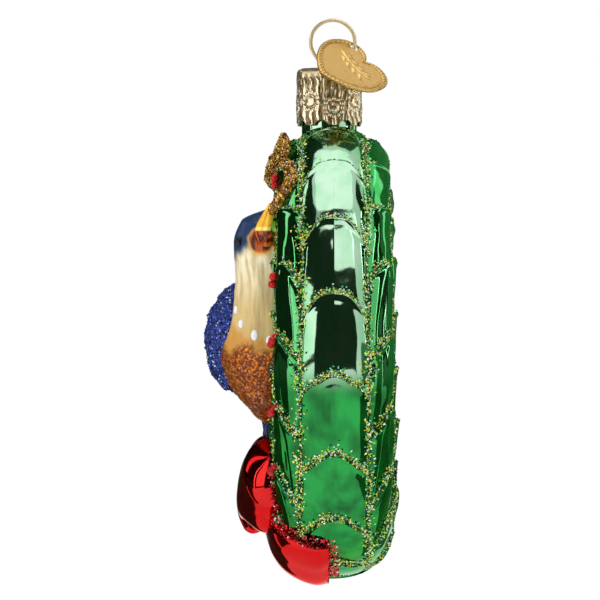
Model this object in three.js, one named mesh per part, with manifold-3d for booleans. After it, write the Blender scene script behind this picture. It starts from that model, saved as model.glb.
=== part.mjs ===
// A blown-glass hanging ornament: a bird in a leaf wreath, with a red bow below and a gold bow above.
// A brass cap sits over the glass neck, a spring wire ring hangs it, and a heart tag rides on the ring.
// Millimetres, +Z up, the bird faces front, -Y, with its beak towards +X.
// The origin is the inside top of the hanging ring, where a hook carries the ornament.

import * as THREE from "three";
import { mergeVertices, toCreasedNormals } from "three/addons/utils/BufferGeometryUtils.js";
import Module from "manifold-3d";

const wasm = await Module();
wasm.setup();

// Clearances
const SEAT_GAP = 0.3; // between two pieces that bear on each other
const CAP_PLAY = 0.35; // between the neck and the inside of the cap

// Wreath
const WREATH_RADIUS = 44.7; // over the rim's leaf tips
const WREATH_DEPTH = 23.2; // front to back over the leaves, up at the neck
const FOOT_SWELL = 0.11; // how much deeper the wreath is at its foot
const FOOT_RAISE = 0.6; // how high the foot's middle stands, as a share of a leaf tip's height
const RIM_TO_CREST = 14.7; // in from the leaf tips to where the ring stands furthest forward
const RING_SQUARENESS = 2.45; // 2 is an elliptical section, and more is boxier
const CREST_TO_DISH = 15; // further in, down to the flat middle behind the bird
const DISH_DEPTH = 9; // thickness through that middle
const GLASS_WALL = 0.8;
const LEAVES_PER_SIDE = 9; // up each side, from the foot to the neck
const LEAF_RAISE = 1.2; // height of a leaf tip over the valleys
const LEAF_ARCH = 3.6; // how far a tip runs ahead of its two sides
const TIP_PLACE = 0.22; // place of a rim tip within its pitch
const RIM_LEAF_WIDTH = 12.6;
const SHOULDER_LEAF_WIDTH = 9.2;
const FACE_LEAF_WIDTH = 8.6;
const INNER_LEAF_WIDTH = 7;

// Neck and cap
const NECK_FORWARD = 0.7; // how far the neck and cap stand ahead of the wreath's middle plane
const CAP_WIDTH = 12.2; // across its flats
const CAP_HEIGHT = 10.2; // without the scallops
const CAP_SHEET = 0.4;
const CAP_SIDES = 8;
const CAP_TURN = THREE.MathUtils.degToRad(8);
const CAP_EDGE = 0.9; // rounding at the top
const CAP_SCALLOP = 1; // depth of the scallops round the skirt
const NECK_WALL = 1;
const NECK_ROOT = 3; // how far the neck runs down into the wreath
const LIP_RADIUS = 0.6;

// Hanging ring and its spring legs
const WIRE_RADIUS = 0.36;
const RING_INNER_RADIUS = 3.95;
const RING_STAND = 0.5; // from the ring down to the cap
const LEG_LENGTH = 12; // below the top of the cap
const LEG_SPACING = 1; // between the two wires in the cap's hole
const CAP_HOLE_RADIUS = 1.15;

// Tag
const TAG_WIDTH = 14.8;
const TAG_HEIGHT = 13.5; // from the notch to the point
const TAG_SHEET = 0.4;
const TAG_RIM = 0.9;
const TAG_RIM_HEIGHT = 0.75;
const TAG_HOLE_RADIUS = 0.95;
const TAG_HOLE_OFFSET = 4.15; // from the notch, along the width
const TAG_HOLE_RISE = 0.95; // over the notch
const TAG_FACING = THREE.MathUtils.degToRad(38.4); // which way round the cap its face looks
const TAG_SPIN = THREE.MathUtils.degToRad(16); // its turn in its own plane
const TAG_PLACE = THREE.MathUtils.degToRad(-13.7); // of its hole on the ring, from level

// Bird, sized by the wreath that it sits in
const BIRD_FORWARD = 0.7; // its middle plane stands this far ahead of the ring's crest
const BIRD_HEIGHT = 0.93 * WREATH_RADIUS; // vent to crown
const HEAD_RADIUS = 0.17 * BIRD_HEIGHT;
const NECK_RADIUS = 0.157 * BIRD_HEIGHT;
const BELLY_RADIUS = 0.245 * BIRD_HEIGHT;
const WING_WIDTH = 0.337 * BIRD_HEIGHT;
const WING_BULGE = 0.145 * BIRD_HEIGHT;
const TAIL_WIDTH = 0.193 * BIRD_HEIGHT;
const TAIL_LENGTH = 0.337 * BIRD_HEIGHT;
const BEAK_WIDTH = 0.11 * BIRD_HEIGHT;
const BEAK_LENGTH = 0.17 * BIRD_HEIGHT;
const EYE_RADIUS = 0.023 * BIRD_HEIGHT;

// Bows and berries, sized by the wreath too
const RED_KNOT_UP = -0.705 * WREATH_RADIUS; // from the wreath's middle
const RED_KNOT_WIDTH = 0.206 * WREATH_RADIUS;
const RED_LOOP_LENGTH = 0.537 * WREATH_RADIUS;
const RED_LOOP_WIDTH = 0.37 * WREATH_RADIUS;
const RED_LOOP_DEPTH = 0.25 * WREATH_RADIUS;
const RED_TAIL_FLARE = 0.47 * WREATH_RADIUS;
const RED_TAIL_DEPTH = 0.1 * WREATH_RADIUS;
const RED_TAIL_SPREAD = THREE.MathUtils.degToRad(21);
const GOLD_KNOT_UP = 0.796 * WREATH_RADIUS;
const GOLD_KNOT_WIDTH = 0.107 * WREATH_RADIUS;
const GOLD_LOOP_LENGTH = 0.313 * WREATH_RADIUS;
const GOLD_LOOP_WIDTH = 0.23 * WREATH_RADIUS;
const GOLD_LOOP_DEPTH = 0.06 * WREATH_RADIUS;
const GOLD_TAIL_REACH = 0.57 * WREATH_RADIUS;
const GOLD_TAIL_RADIUS = 1.05; // a roll of ribbon, as thick on a wreath of any size
const BERRY_RADIUS = 0.75;
const BERRY_PLACE = 0.86; // of the shoulder leaves' far edge, where the clusters lie

// Derived sizes
const RING_RADIUS = RING_INNER_RADIUS + WIRE_RADIUS; // of the wire's middle
const RING_MIDDLE = -RING_INNER_RADIUS;
const CAP_TOP = RING_MIDDLE - RING_RADIUS - WIRE_RADIUS - RING_STAND;
const CAP_SKIRT = CAP_TOP - CAP_HEIGHT;
const NECK_OUTER_RADIUS = CAP_WIDTH / 2 - CAP_SHEET - CAP_PLAY;
const NECK_BORE_RADIUS = NECK_OUTER_RADIUS - NECK_WALL;
const NECK_TOP = CAP_TOP - CAP_SHEET - SEAT_GAP;
const RIM_RADIUS = WREATH_RADIUS - LEAF_RAISE; // down in the valleys
const CREST_RADIUS = WREATH_RADIUS - RIM_TO_CREST;
const DISH_RADIUS = CREST_RADIUS - CREST_TO_DISH;
const HALF_DEPTH = WREATH_DEPTH / 2 - LEAF_RAISE;
const WREATH_MIDDLE = CAP_SKIRT - CAP_SCALLOP - SEAT_GAP - RIM_RADIUS;
const BIRD_PLANE = -(WREATH_DEPTH / 2) - BIRD_FORWARD;

const ROW_EDGES = [
  RIM_LEAF_WIDTH / 2,
  RIM_LEAF_WIDTH / 2 + SHOULDER_LEAF_WIDTH,
  RIM_LEAF_WIDTH / 2 + SHOULDER_LEAF_WIDTH + FACE_LEAF_WIDTH,
  RIM_LEAF_WIDTH / 2 + SHOULDER_LEAF_WIDTH + FACE_LEAF_WIDTH + INNER_LEAF_WIDTH,
];

const MATERIALS = {
  green_glass: { color: 0x0f7a35, roughness: 0.12, metalness: 0.85 },
  red_glass: { color: 0xb5121b, roughness: 0.12, metalness: 0.85 },
  gold_glitter: { color: 0xb8741c, roughness: 0.5, metalness: 0.7 },
  berry_paint: { color: 0xc4121c, roughness: 0.25, metalness: 0.1 },
  bird_paint: { color: 0xd9c48f, roughness: 0.4, metalness: 0.1 },
  blue_glitter: { color: 0x1d2f7d, roughness: 0.45, metalness: 0.4 },
  beak_gold: { color: 0xe8a01e, roughness: 0.2, metalness: 0.6 },
  eye_black: { color: 0x08080a, roughness: 0.15, metalness: 0 },
  cap_brass: { color: 0xb49a6c, roughness: 0.25, metalness: 1 },
  wire_gold: { color: 0xcbb68c, roughness: 0.22, metalness: 1 },
  tag_brass: { color: 0xc2913a, roughness: 0.35, metalness: 1 },
};

// Solids and meshes

function solidOf(geometry) {
  const bare = new THREE.BufferGeometry();
  bare.setAttribute("position", geometry.getAttribute("position"));
  bare.setIndex(geometry.index);
  const merged = mergeVertices(bare, 1e-4);
  return new wasm.Manifold(
    new wasm.Mesh({
      numProp: 3,
      vertProperties: new Float32Array(merged.attributes.position.array),
      triVerts: new Uint32Array(merged.index.array),
    }),
  );
}

function meshOf(name, solid, slot) {
  const { vertProperties, triVerts } = solid.getMesh();
  const geometry = new THREE.BufferGeometry();
  geometry.setAttribute("position", new THREE.BufferAttribute(vertProperties, 3));
  geometry.setIndex(new THREE.BufferAttribute(triVerts, 1));
  const creased = toCreasedNormals(geometry, THREE.MathUtils.degToRad(28));
  const mesh = new THREE.Mesh(creased, new THREE.MeshStandardMaterial(MATERIALS[slot]));
  mesh.material.name = slot;
  mesh.name = name;
  return mesh;
}

// Only the main body of a solid, without what a cut has shaved off.
const largest = (solid) =>
  solid.decompose().reduce((best, body) => (body.volume() > best.volume() ? body : best));

const placed = (geometry, x, y, z) => solidOf(geometry.clone().translate(x, y, z));
const smooth = (t) => THREE.MathUtils.smoothstep(t, 0, 1);
const forwardBy = (solid, distance) => solid.translate([0, -distance, 0]);

// A closed skin over rings of points, with both ends closed.
function skin(rings) {
  const around = rings[0].length;
  const middle = (ring) =>
    ring.reduce((sum, p) => sum.add(p), new THREE.Vector3()).divideScalar(around);
  const points = [...rings.flat(), middle(rings[0]), middle(rings.at(-1))];
  const [first, last] = [points.length - 2, points.length - 1];
  const top = around * (rings.length - 1);
  const faces = [];
  for (let j = 0; j < around; j++) {
    const k = (j + 1) % around;
    faces.push([first, k, j], [last, top + j, top + k]);
    for (let row = 0; row < top; row += around)
      faces.push(
        [row + j, row + k, row + around + k],
        [row + j, row + around + k, row + around + j],
      );
  }
  const volume = faces.reduce(
    (sum, [a, b, c]) => sum + points[a].dot(points[b].clone().cross(points[c])),
    0,
  );
  const geometry = new THREE.BufferGeometry().setFromPoints(points);
  geometry.setIndex(faces.flatMap((face) => (volume < 0 ? face.toReversed() : face)));
  return geometry;
}

// The same form with its surface moved outwards, or inwards where the distance is negative.
function swollen(geometry, distance) {
  const bare = new THREE.BufferGeometry();
  bare.setAttribute("position", geometry.getAttribute("position"));
  bare.setIndex(geometry.index);
  const moved = mergeVertices(bare, 1e-4);
  moved.computeVertexNormals();
  const { position, normal } = moved.attributes;
  for (let i = 0; i < position.count; i++)
    position.setXYZ(
      i,
      position.getX(i) + normal.getX(i) * distance,
      position.getY(i) + normal.getY(i) * distance,
      position.getZ(i) + normal.getZ(i) * distance,
    );
  return moved;
}

// Oval sections along a smooth spine. A station is a place, a radius across and a radius outwards.
function loft(stations, outward, { steps = 10, sides = 12 } = {}) {
  const spine = new THREE.CatmullRomCurve3(stations.map(({ at }) => at));
  const radii = new THREE.CatmullRomCurve3(
    stations.map(({ across, deep }) => new THREE.Vector3(across, deep, 0)),
  );
  const rings = [];
  for (let i = 0; i <= steps; i++) {
    const t = (1 - Math.cos((Math.PI * i) / steps)) / 2;
    const centre = spine.getPoint(t);
    const along = spine.getTangent(t);
    const out = outward(centre).clone().projectOnPlane(along).normalize();
    const side = along.clone().cross(out);
    const { x: across, y: deep } = radii.getPoint(t);
    rings.push(
      Array.from({ length: sides }, (_, j) => {
        const angle = (2 * Math.PI * j) / sides;
        return centre
          .clone()
          .addScaledVector(side, Math.max(across, 0.1) * Math.cos(angle))
          .addScaledVector(out, Math.max(deep, 0.1) * Math.sin(angle));
      }),
    );
  }
  return skin(rings);
}

// What a piece's neighbours are cut with, so that they stand just clear of it.
const seatOf = (form) => solidOf(swollen(form, SEAT_GAP));

const FORWARD = () => new THREE.Vector3(0, -1, 0);
const station = (x, y, z, across, deep) => ({ at: new THREE.Vector3(x, y, z), across, deep });

// Wreath: one section turned round the middle, with rows of leaves raised on it

// How much deeper the ring is at a height over its middle than at the neck.
const swell = (up) => 1 + (FOOT_SWELL * (1 - up / RIM_RADIUS)) / 2;

// Half of the ring's section, from the middle of the rim over the crest to the middle of the dish.
class WreathSection extends THREE.Curve {
  getPoint(t, target = new THREE.Vector3()) {
    const crestShare = 0.4;
    if (t < crestShare) {
      const angle = (t / crestShare) * (Math.PI / 2);
      const power = 2 / RING_SQUARENESS;
      return target.set(
        CREST_RADIUS + (RIM_RADIUS - CREST_RADIUS) * Math.max(Math.cos(angle), 0) ** power,
        HALF_DEPTH * Math.sin(angle) ** power,
        0,
      );
    }
    const radius = (CREST_RADIUS * (1 - t)) / (1 - crestShare);
    const rise = THREE.MathUtils.smoothstep(radius, DISH_RADIUS, CREST_RADIUS);
    return target.set(radius, DISH_DEPTH / 2 + (HALF_DEPTH - DISH_DEPTH / 2) * rise, 0);
  }
}
const section = new WreathSection();
section.arcLengthDivisions = 400;
const SECTION_LENGTH = section.getLength();
const CREST_PLACE = 0.37; // of the section's length, from the middle of the rim to the crest

// Which row of leaves a place on the section is in, and how far across the leaf it is, from -1 to 1.
function rowAt(distance) {
  const row = ROW_EDGES.findIndex((edge) => distance <= edge + 1e-6);
  if (row === 0) return { row, across: distance / ROW_EDGES[0] };
  if (row < 0) return { row, across: 1 };
  const [from, to] = [ROW_EDGES[row - 1], ROW_EDGES[row]];
  return { row, across: (2 * distance - from - to) / (to - from) };
}

// Height of the leaves over the valleys: each climbs to its tip and drops to the base of the next.
function leafHeight(row, across, climb) {
  if (row < 0) return 0;
  const place = climb - TIP_PLACE - (row % 2) / 2;
  const behindTip = Math.ceil(place - 1e-6) - place;
  const keel = 1 - 0.35 * Math.abs(across) - 0.65 * Math.abs(across) ** 5;
  return LEAF_RAISE * keel * (1 - 0.75 * behindTip);
}

// A point of the wreath's surface. Climb counts leaf pitches from the foot, and distance runs
// over the section from the middle of the rim.
function wreathPoint(side, face, climb, distance, lift = 0, relief = 1) {
  const share = Math.min(distance / SECTION_LENGTH, 1);
  const { x: radius, y: forward } = section.getPointAt(share);
  const tangent = section.getTangentAt(share);
  const { row, across } = rowAt(distance);
  const foot = smooth(2 * climb);
  const ends = foot * smooth((row === 0 ? 2 : 4) * (LEAVES_PER_SIDE - climb));
  const fade = row < 0 ? (1 - share) / (1 - ROW_EDGES.at(-1) / SECTION_LENGTH) : 1;
  const arch = (LEAF_ARCH / RIM_RADIUS) * across ** 2 * ends * fade;
  const angle = (climb / LEAVES_PER_SIDE - 0.5) * Math.PI - arch;
  const leaf = leafHeight(row, across, climb) * ends * relief;
  const footHeight = row < 0 ? 0 : LEAF_RAISE * FOOT_RAISE * (1 - foot) * relief;
  const height = leaf + footHeight + lift;
  const r = radius + tangent.y * height;
  return new THREE.Vector3(
    side * r * Math.cos(angle),
    face * (forward * swell(radius * Math.sin(angle)) - tangent.x * height),
    WREATH_MIDDLE + r * Math.sin(angle),
  );
}

// Lines up one side, close together just past each tip, where a leaf drops to the next.
function climbLines(perLeaf) {
  const lines = new Set([0]);
  for (let leaf = 0; leaf < LEAVES_PER_SIDE; leaf++)
    for (const place of perLeaf) lines.add(leaf + place);
  return [...lines, LEAVES_PER_SIDE];
}

function wreathForm(perLeaf, distances, lift = 0, relief = 1) {
  const climbs = climbLines(perLeaf);
  const ring = (face, distance) => [
    ...climbs.map((climb) => wreathPoint(1, face, climb, distance, lift, relief)),
    ...climbs
      .slice(1, -1)
      .reverse()
      .map((climb) => wreathPoint(-1, face, climb, distance, lift, relief)),
  ];
  return skin([
    ...distances.toReversed().map((distance) => ring(-1, distance)),
    ...distances.slice(1).map((distance) => ring(1, distance)),
  ]);
}

const STEP_PAST_TIP = 0.06;
const LEAF_LINES = [
  TIP_PLACE,
  TIP_PLACE + STEP_PAST_TIP,
  TIP_PLACE + 0.5,
  TIP_PLACE + 0.5 + STEP_PAST_TIP,
];

function leafDistances() {
  const distances = [0, 0.7 * ROW_EDGES[0], ROW_EDGES[0]];
  for (let row = 1; row < ROW_EDGES.length; row++) {
    const [from, to] = [ROW_EDGES[row - 1], ROW_EDGES[row]];
    for (const share of [0.15, 0.5, 0.85, 1]) distances.push(from + (to - from) * share);
  }
  const inner = ROW_EDGES.at(-1);
  for (const share of [0.3, 0.65, 0.97]) distances.push(inner + (SECTION_LENGTH - inner) * share);
  return distances;
}

function plainDistances(step) {
  const distances = [];
  for (let share = 0; share < 0.9; share += step) distances.push(share * SECTION_LENGTH);
  return [...distances, 0.97 * SECTION_LENGTH];
}

// What other pieces are cut with, so that they stand just clear of the leaves. Berries lie between
// the leaves, and the bird and the bows lie over the tips.
const leafSeat = solidOf(wreathForm(LEAF_LINES, leafDistances(), SEAT_GAP));
const tipSeat = solidOf(wreathForm([0, 0.33, 0.67], plainDistances(0.06), LEAF_RAISE + SEAT_GAP, 0));

function wreathGlass() {
  const leaves = solidOf(wreathForm(LEAF_LINES, leafDistances()));
  const cavity = solidOf(wreathForm([0.5], plainDistances(0.11), -GLASS_WALL, 0));
  const foot = WREATH_MIDDLE + RIM_RADIUS - NECK_ROOT;
  const neckProfile = [
    [0, foot],
    [NECK_OUTER_RADIUS, foot],
    [NECK_OUTER_RADIUS, NECK_TOP - LIP_RADIUS],
    [NECK_OUTER_RADIUS - LIP_RADIUS * 0.3, NECK_TOP - LIP_RADIUS * 0.3],
    [NECK_OUTER_RADIUS - LIP_RADIUS, NECK_TOP],
    [0, NECK_TOP],
  ].map(([r, z]) => new THREE.Vector2(r, z));
  const neck = solidOf(new THREE.LatheGeometry(neckProfile, 32).rotateX(Math.PI / 2));
  const boreFoot = foot - NECK_ROOT;
  const bore = new THREE.CylinderGeometry(
    NECK_BORE_RADIUS,
    NECK_BORE_RADIUS,
    NECK_TOP + 1 - boreFoot,
    32,
  ).rotateX(Math.PI / 2);
  return leaves
    .add(forwardBy(neck, NECK_FORWARD))
    .subtract(cavity)
    .subtract(placed(bore, 0, -NECK_FORWARD, (NECK_TOP + 1 + boreFoot) / 2));
}

// How far forward the ring's leaves stand at a point of the front, seen from the front.
function frontAt(x, z) {
  const radius = Math.hypot(x, z - WREATH_MIDDLE);
  const span = RIM_RADIUS - CREST_RADIUS;
  const out = THREE.MathUtils.clamp((radius - CREST_RADIUS) / span, 0, 0.995);
  return (
    swell(z - WREATH_MIDDLE) * HALF_DEPTH * (1 - out ** RING_SQUARENESS) ** (1 / RING_SQUARENESS)
  );
}

// A station on the front of the ring. Stand is how far its middle is ahead of the valleys.
const onFront = (x, up, stand, across, deep) => {
  const z = WREATH_MIDDLE + up;
  return station(x, -frontAt(x, z) - stand, z, across, deep);
};

// Bird: one smooth body from vent to crown, and the pieces that lie on it

// A place on the bird. Across and up are shares of its height, from the wreath's middle.
const bird = (across, up, forward = 0) =>
  new THREE.Vector3(across * BIRD_HEIGHT, BIRD_PLANE - forward, WREATH_MIDDLE + up * BIRD_HEIGHT);
const birdStation = (x, up, across, deep, forward) => ({ at: bird(x, up, forward), across, deep });

const birdForm = loft(
  [
    birdStation(-0.265, -0.3, BELLY_RADIUS * 0.12, BELLY_RADIUS * 0.12),
    birdStation(-0.169, -0.25, BELLY_RADIUS * 0.46, BELLY_RADIUS * 0.36),
    birdStation(-0.072, -0.13, BELLY_RADIUS * 0.93, BELLY_RADIUS * 0.76),
    birdStation(0.043, 0.01, BELLY_RADIUS * 1.06, BELLY_RADIUS * 0.96),
    birdStation(0.111, 0.19, (BELLY_RADIUS + NECK_RADIUS) / 2, NECK_RADIUS * 1.16),
    birdStation(0.14, 0.36, NECK_RADIUS * 1.08, NECK_RADIUS),
    birdStation(0.164, 0.5, HEAD_RADIUS, HEAD_RADIUS * 0.98),
    birdStation(0.183, 0.61, HEAD_RADIUS * 0.72, HEAD_RADIUS * 0.76),
    birdStation(0.193, 0.66, HEAD_RADIUS * 0.1, HEAD_RADIUS * 0.1),
  ],
  FORWARD,
  { steps: 16, sides: 16 },
);
const birdSeat = seatOf(birdForm);

const wingStation = (x, up, width, bulge, forward) =>
  birdStation(x, up, (WING_WIDTH / 2) * width, WING_BULGE * bulge, WING_BULGE * forward);
const wingForm = loft(
  [
    wingStation(0.154, 0.285, 0.11, 0.13, 0.7),
    wingStation(0.096, 0.235, 0.66, 0.7, 0.87),
    wingStation(0, 0.09, 1, 1, 1.07),
    wingStation(-0.12, -0.05, 0.91, 0.94, 1),
    wingStation(-0.253, -0.165, 0.51, 0.42, 0.6),
    wingStation(-0.373, -0.265, 0.1, 0.1, 0.3),
  ],
  FORWARD,
);

const tailStation = (along, up, width, deep) =>
  birdStation(-0.193 - along * (TAIL_LENGTH / BIRD_HEIGHT), up, TAIL_WIDTH * width, TAIL_WIDTH * deep);
const tailForm = loft(
  [
    tailStation(0, -0.24, 0.37, 0.25),
    tailStation(0.21, -0.3, 0.45, 0.21),
    tailStation(0.81, -0.375, 0.5, 0.17),
    tailStation(1.21, -0.42, 0.4, 0.1),
  ],
  FORWARD,
  { steps: 6, sides: 10 },
);
const tailSeat = seatOf(tailForm);

const beakStation = (along, up, width, forward) =>
  birdStation(
    0.265 + along * (BEAK_LENGTH / BIRD_HEIGHT),
    up,
    (BEAK_WIDTH / 2) * width,
    (BEAK_WIDTH / 2) * width,
    BEAK_WIDTH * forward,
  );
const beakForm = loft(
  [
    beakStation(0, 0.5, 1, 0.09),
    beakStation(0.35, 0.555, 1.02, 0.09),
    beakStation(0.7, 0.625, 0.58, 0.02),
    beakStation(0.9, 0.68, 0.18, -0.07),
  ],
  FORWARD,
  { steps: 8, sides: 10 },
);
const beakSeat = seatOf(beakForm);

function birdPieces() {
  const body = solidOf(birdForm)
    .subtract(solidOf(swollen(birdForm, -GLASS_WALL)))
    .subtract(tipSeat);
  const eye = new THREE.SphereGeometry(EYE_RADIUS, 12, 8);
  const gaze = THREE.MathUtils.degToRad(33);
  const eyeReach = HEAD_RADIUS - EYE_RADIUS * 0.15;
  const { x, y, z } = bird(0.164, 0.53, eyeReach * Math.cos(gaze));
  return {
    bird_body: [body, "bird_paint"],
    bird_wing: [solidOf(wingForm).subtract(birdSeat).subtract(tipSeat), "blue_glitter"],
    bird_tail: [solidOf(tailForm).subtract(birdSeat).subtract(tipSeat), "blue_glitter"],
    bird_beak: [solidOf(beakForm).subtract(birdSeat).subtract(tipSeat), "beak_gold"],
    bird_eye: [placed(eye, x + eyeReach * Math.sin(gaze), y, z).subtract(birdSeat), "eye_black"],
  };
}

// Bows: two loops, a knot and two tails, each blown proud of the wreath

function bow(name, slot, knotForm, loopForm, tailForm, wall) {
  const knotSeat = seatOf(knotForm);
  const pieces = { [name + "_knot"]: [solidOf(knotForm).subtract(tipSeat), slot] };
  const seats = [knotSeat];
  for (const [hand, side] of [
    ["right", 1],
    ["left", -1],
  ]) {
    const [loop, tail] = [loopForm(side), tailForm(side)];
    const loopSeat = seatOf(loop);
    const blown = wall ? solidOf(loop).subtract(solidOf(swollen(loop, -wall))) : solidOf(loop);
    const clear = (solid) =>
      largest(solid.subtract(tipSeat).subtract(knotSeat).subtract(birdSeat).subtract(tailSeat));
    pieces[`${name}_${hand}_loop`] = [clear(blown), slot];
    pieces[`${name}_${hand}_tail`] = [clear(solidOf(tail).subtract(loopSeat)), slot];
    seats.push(loopSeat, seatOf(tail));
  }
  return { pieces, seats };
}

function redBow() {
  const half = RED_LOOP_WIDTH / 2;
  const deep = RED_LOOP_DEPTH / 2;
  const knotHalf = RED_KNOT_WIDTH / 2;
  const knotStation = (up, stand, share) =>
    onFront(0, RED_KNOT_UP + knotHalf * up, knotHalf * stand, knotHalf * share, knotHalf * share * 0.85);
  const knot = loft(
    [
      knotStation(1.05, 0.52, 0.3),
      knotStation(0.74, 0.61, 0.87),
      knotStation(0.1, 0.65, 1),
      knotStation(-0.47, 0.6, 0.84),
      knotStation(-0.7, 0.5, 0.3),
    ],
    FORWARD,
    { steps: 6, sides: 10 },
  );
  const loop = (side) => {
    const place = (share, up, stand, across, out) =>
      onFront(
        side * (knotHalf * 0.43 + (RED_LOOP_LENGTH - knotHalf * 0.43) * share),
        RED_KNOT_UP + half * up,
        deep * stand,
        half * across,
        deep * out,
      );
    return loft(
      [
        place(0, 0, 0.34, 0.35, 0.52),
        place(0.2, 0.22, 0.32, 0.64, 0.96),
        place(0.5, 0.58, 0.3, 1, 1),
        place(0.8, 1.02, 0.22, 0.92, 0.84),
        place(1, 1.42, 0.1, 0.12, 0.17),
      ],
      FORWARD,
      { steps: 10, sides: 12 },
    );
  };
  const tail = (side) => {
    const angle = -Math.PI / 2 + side * RED_TAIL_SPREAD;
    // Shares of the way from the rim's middle to the crest, of the depth and of the flare
    const place = (share, stand, across, out) => {
      const along = share * CREST_PLACE;
      const { x: radius, y: forward } = section.getPointAt(along);
      const tangent = section.getTangentAt(along);
      const r = radius + tangent.y * stand * RED_TAIL_DEPTH;
      return station(
        r * Math.cos(angle),
        -forward + tangent.x * stand * RED_TAIL_DEPTH,
        WREATH_MIDDLE + r * Math.sin(angle),
        RED_TAIL_FLARE * across,
        RED_TAIL_DEPTH * out,
      );
    };
    return loft(
      [
        place(1, 0.2, 0.14, 0.5),
        place(0.75, 0.28, 0.3, 0.5),
        place(0.45, 0.3, 0.46, 0.5),
        place(0.17, 0.22, 0.52, 0.36),
        place(0.05, 0.1, 0.5, 0.25),
      ],
      (centre) => new THREE.Vector3(centre.x, 2 * centre.y, centre.z - WREATH_MIDDLE),
      { steps: 8, sides: 12 },
    );
  };
  return bow("red_bow", "red_glass", knot, loop, tail, GLASS_WALL);
}

function goldBow() {
  const half = GOLD_LOOP_WIDTH / 2;
  const deep = GOLD_LOOP_DEPTH / 2;
  const knotHalf = GOLD_KNOT_WIDTH / 2;
  const knotStation = (up, share) =>
    onFront(0, GOLD_KNOT_UP + knotHalf * up, knotHalf * 0.4, knotHalf * share, knotHalf * share * 0.8);
  const knot = loft(
    [knotStation(1.2, 0.33), knotStation(0.7, 1), knotStation(-0.95, 1), knotStation(-1.6, 0.33)],
    FORWARD,
    { steps: 6, sides: 10 },
  );
  const loop = (side) => {
    const place = (share, up, stand, across, out) =>
      onFront(
        side * (knotHalf / 2 + (GOLD_LOOP_LENGTH - knotHalf / 2) * share),
        GOLD_KNOT_UP + half * up,
        deep * stand,
        half * across,
        deep * out,
      );
    return loft(
      [
        place(0, 0, 0.5, 0.26, 0.8),
        place(0.35, 0.12, 0.5, 0.8, 1),
        place(0.75, 0.28, 0.4, 1, 1),
        place(1, 0.3, 0.4, 0.23, 0.5),
      ],
      FORWARD,
      { steps: 8, sides: 10 },
    );
  };
  // The right tail swings out over the leaves and comes back to the beak.
  const tail = (side) => {
    const place = (share, up, stand, across, out) =>
      onFront(
        side * GOLD_TAIL_REACH * share,
        GOLD_KNOT_UP - GOLD_LOOP_WIDTH * up,
        LEAF_RAISE * stand,
        GOLD_TAIL_RADIUS * across,
        GOLD_TAIL_RADIUS * out,
      );
    return loft(
      [
        place(0.08, 0.16, 0.79, 1, 1),
        place(0.39, 0.02, 0.88, 1.1, 1),
        place(0.75, 0, 0.88, 1.4, 1.2),
        place(1, 0.3, 0.96, 2, 1.6),
        place(0.96, 0.72, 0.96, 1.2, 1.1),
        place(0.82, 0.84, 1.14, 0.8, 0.8),
      ],
      FORWARD,
      { steps: 18, sides: 8 },
    );
  };
  return bow("gold_bow", "gold_glitter", knot, loop, tail, 0);
}

// Berries: threes on the shoulder leaves' tips, where no bow covers them

const BERRY_LEAVES = new Map([
  [1, [2, 3, 4, 5, 7]],
  [-1, [2, 3, 4, 5, 6, 7]],
]);

function berryClusters(seats) {
  const pieces = {};
  const seat = wasm.Manifold.union([leafSeat, ...seats]);
  const distance = ROW_EDGES[1] * BERRY_PLACE;
  const pitch = (Math.PI * section.getPointAt(distance / SECTION_LENGTH).x) / LEAVES_PER_SIDE;
  let count = 0;
  for (const [side, leaves] of BERRY_LEAVES)
    for (const leaf of leaves) {
      const at = (along, across) =>
        wreathPoint(
          side,
          -1,
          leaf + TIP_PLACE + 0.5 + (BERRY_RADIUS * along) / pitch,
          distance + BERRY_RADIUS * across,
          BERRY_RADIUS * 0.55,
        );
      const berries = [at(0.6, 0), at(-0.37, -0.58), at(-0.37, 0.58)].map(({ x, y, z }) =>
        placed(new THREE.IcosahedronGeometry(BERRY_RADIUS, 0), x, y, z),
      );
      const cluster = largest(wasm.Manifold.union(berries).subtract(seat));
      pieces[`berries_${String(++count).padStart(2, "0")}`] = [cluster, "berry_paint"];
    }
  return pieces;
}

// Cap: a drawn sheet cup with eight flats and a scalloped skirt

function capRing(flat, z) {
  const ring = [];
  for (let face = 0; face < CAP_SIDES; face++)
    for (const share of [-0.5, -0.36, 0.36]) {
      const off = (share * 2 * Math.PI) / CAP_SIDES;
      const corner = share === -0.5 ? 1.055 : 1 / Math.cos(off);
      const angle = CAP_TURN + (face * 2 * Math.PI) / CAP_SIDES + off;
      const r = (flat / 2) * corner;
      ring.push(new THREE.Vector3(r * Math.cos(angle), r * Math.sin(angle), z));
    }
  return ring;
}

function capBrass() {
  const foot = CAP_SKIRT - CAP_SCALLOP;
  const cup = (inset) => {
    const top = CAP_TOP - inset;
    const flat = CAP_WIDTH - 2 * inset;
    const edge = CAP_EDGE - inset;
    return solidOf(
      skin([
        capRing(flat, foot - (inset ? 1 : 0)),
        capRing(flat, top - edge),
        capRing(flat - edge * 0.6, top - edge * 0.3),
        capRing(flat - edge * 2, top),
      ]),
    );
  };
  const hole = new THREE.CylinderGeometry(CAP_HOLE_RADIUS, CAP_HOLE_RADIUS, 4, 20);
  let cap = cup(0).subtract(cup(CAP_SHEET)).subtract(placed(hole.rotateX(Math.PI / 2), 0, 0, CAP_TOP));
  for (let corner = 0; corner < CAP_SIDES; corner++) {
    const angle = CAP_TURN + ((corner + 0.5) * 2 * Math.PI) / CAP_SIDES;
    const notch = new THREE.CylinderGeometry(CAP_SCALLOP, CAP_SCALLOP, CAP_WIDTH, 12)
      .scale(1.5, 1, 1)
      .translate(0, CAP_WIDTH / 2, 0)
      .rotateZ(angle - Math.PI / 2);
    cap = cap.subtract(placed(notch, 0, 0, foot));
  }
  return forwardBy(cap, NECK_FORWARD);
}

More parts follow.
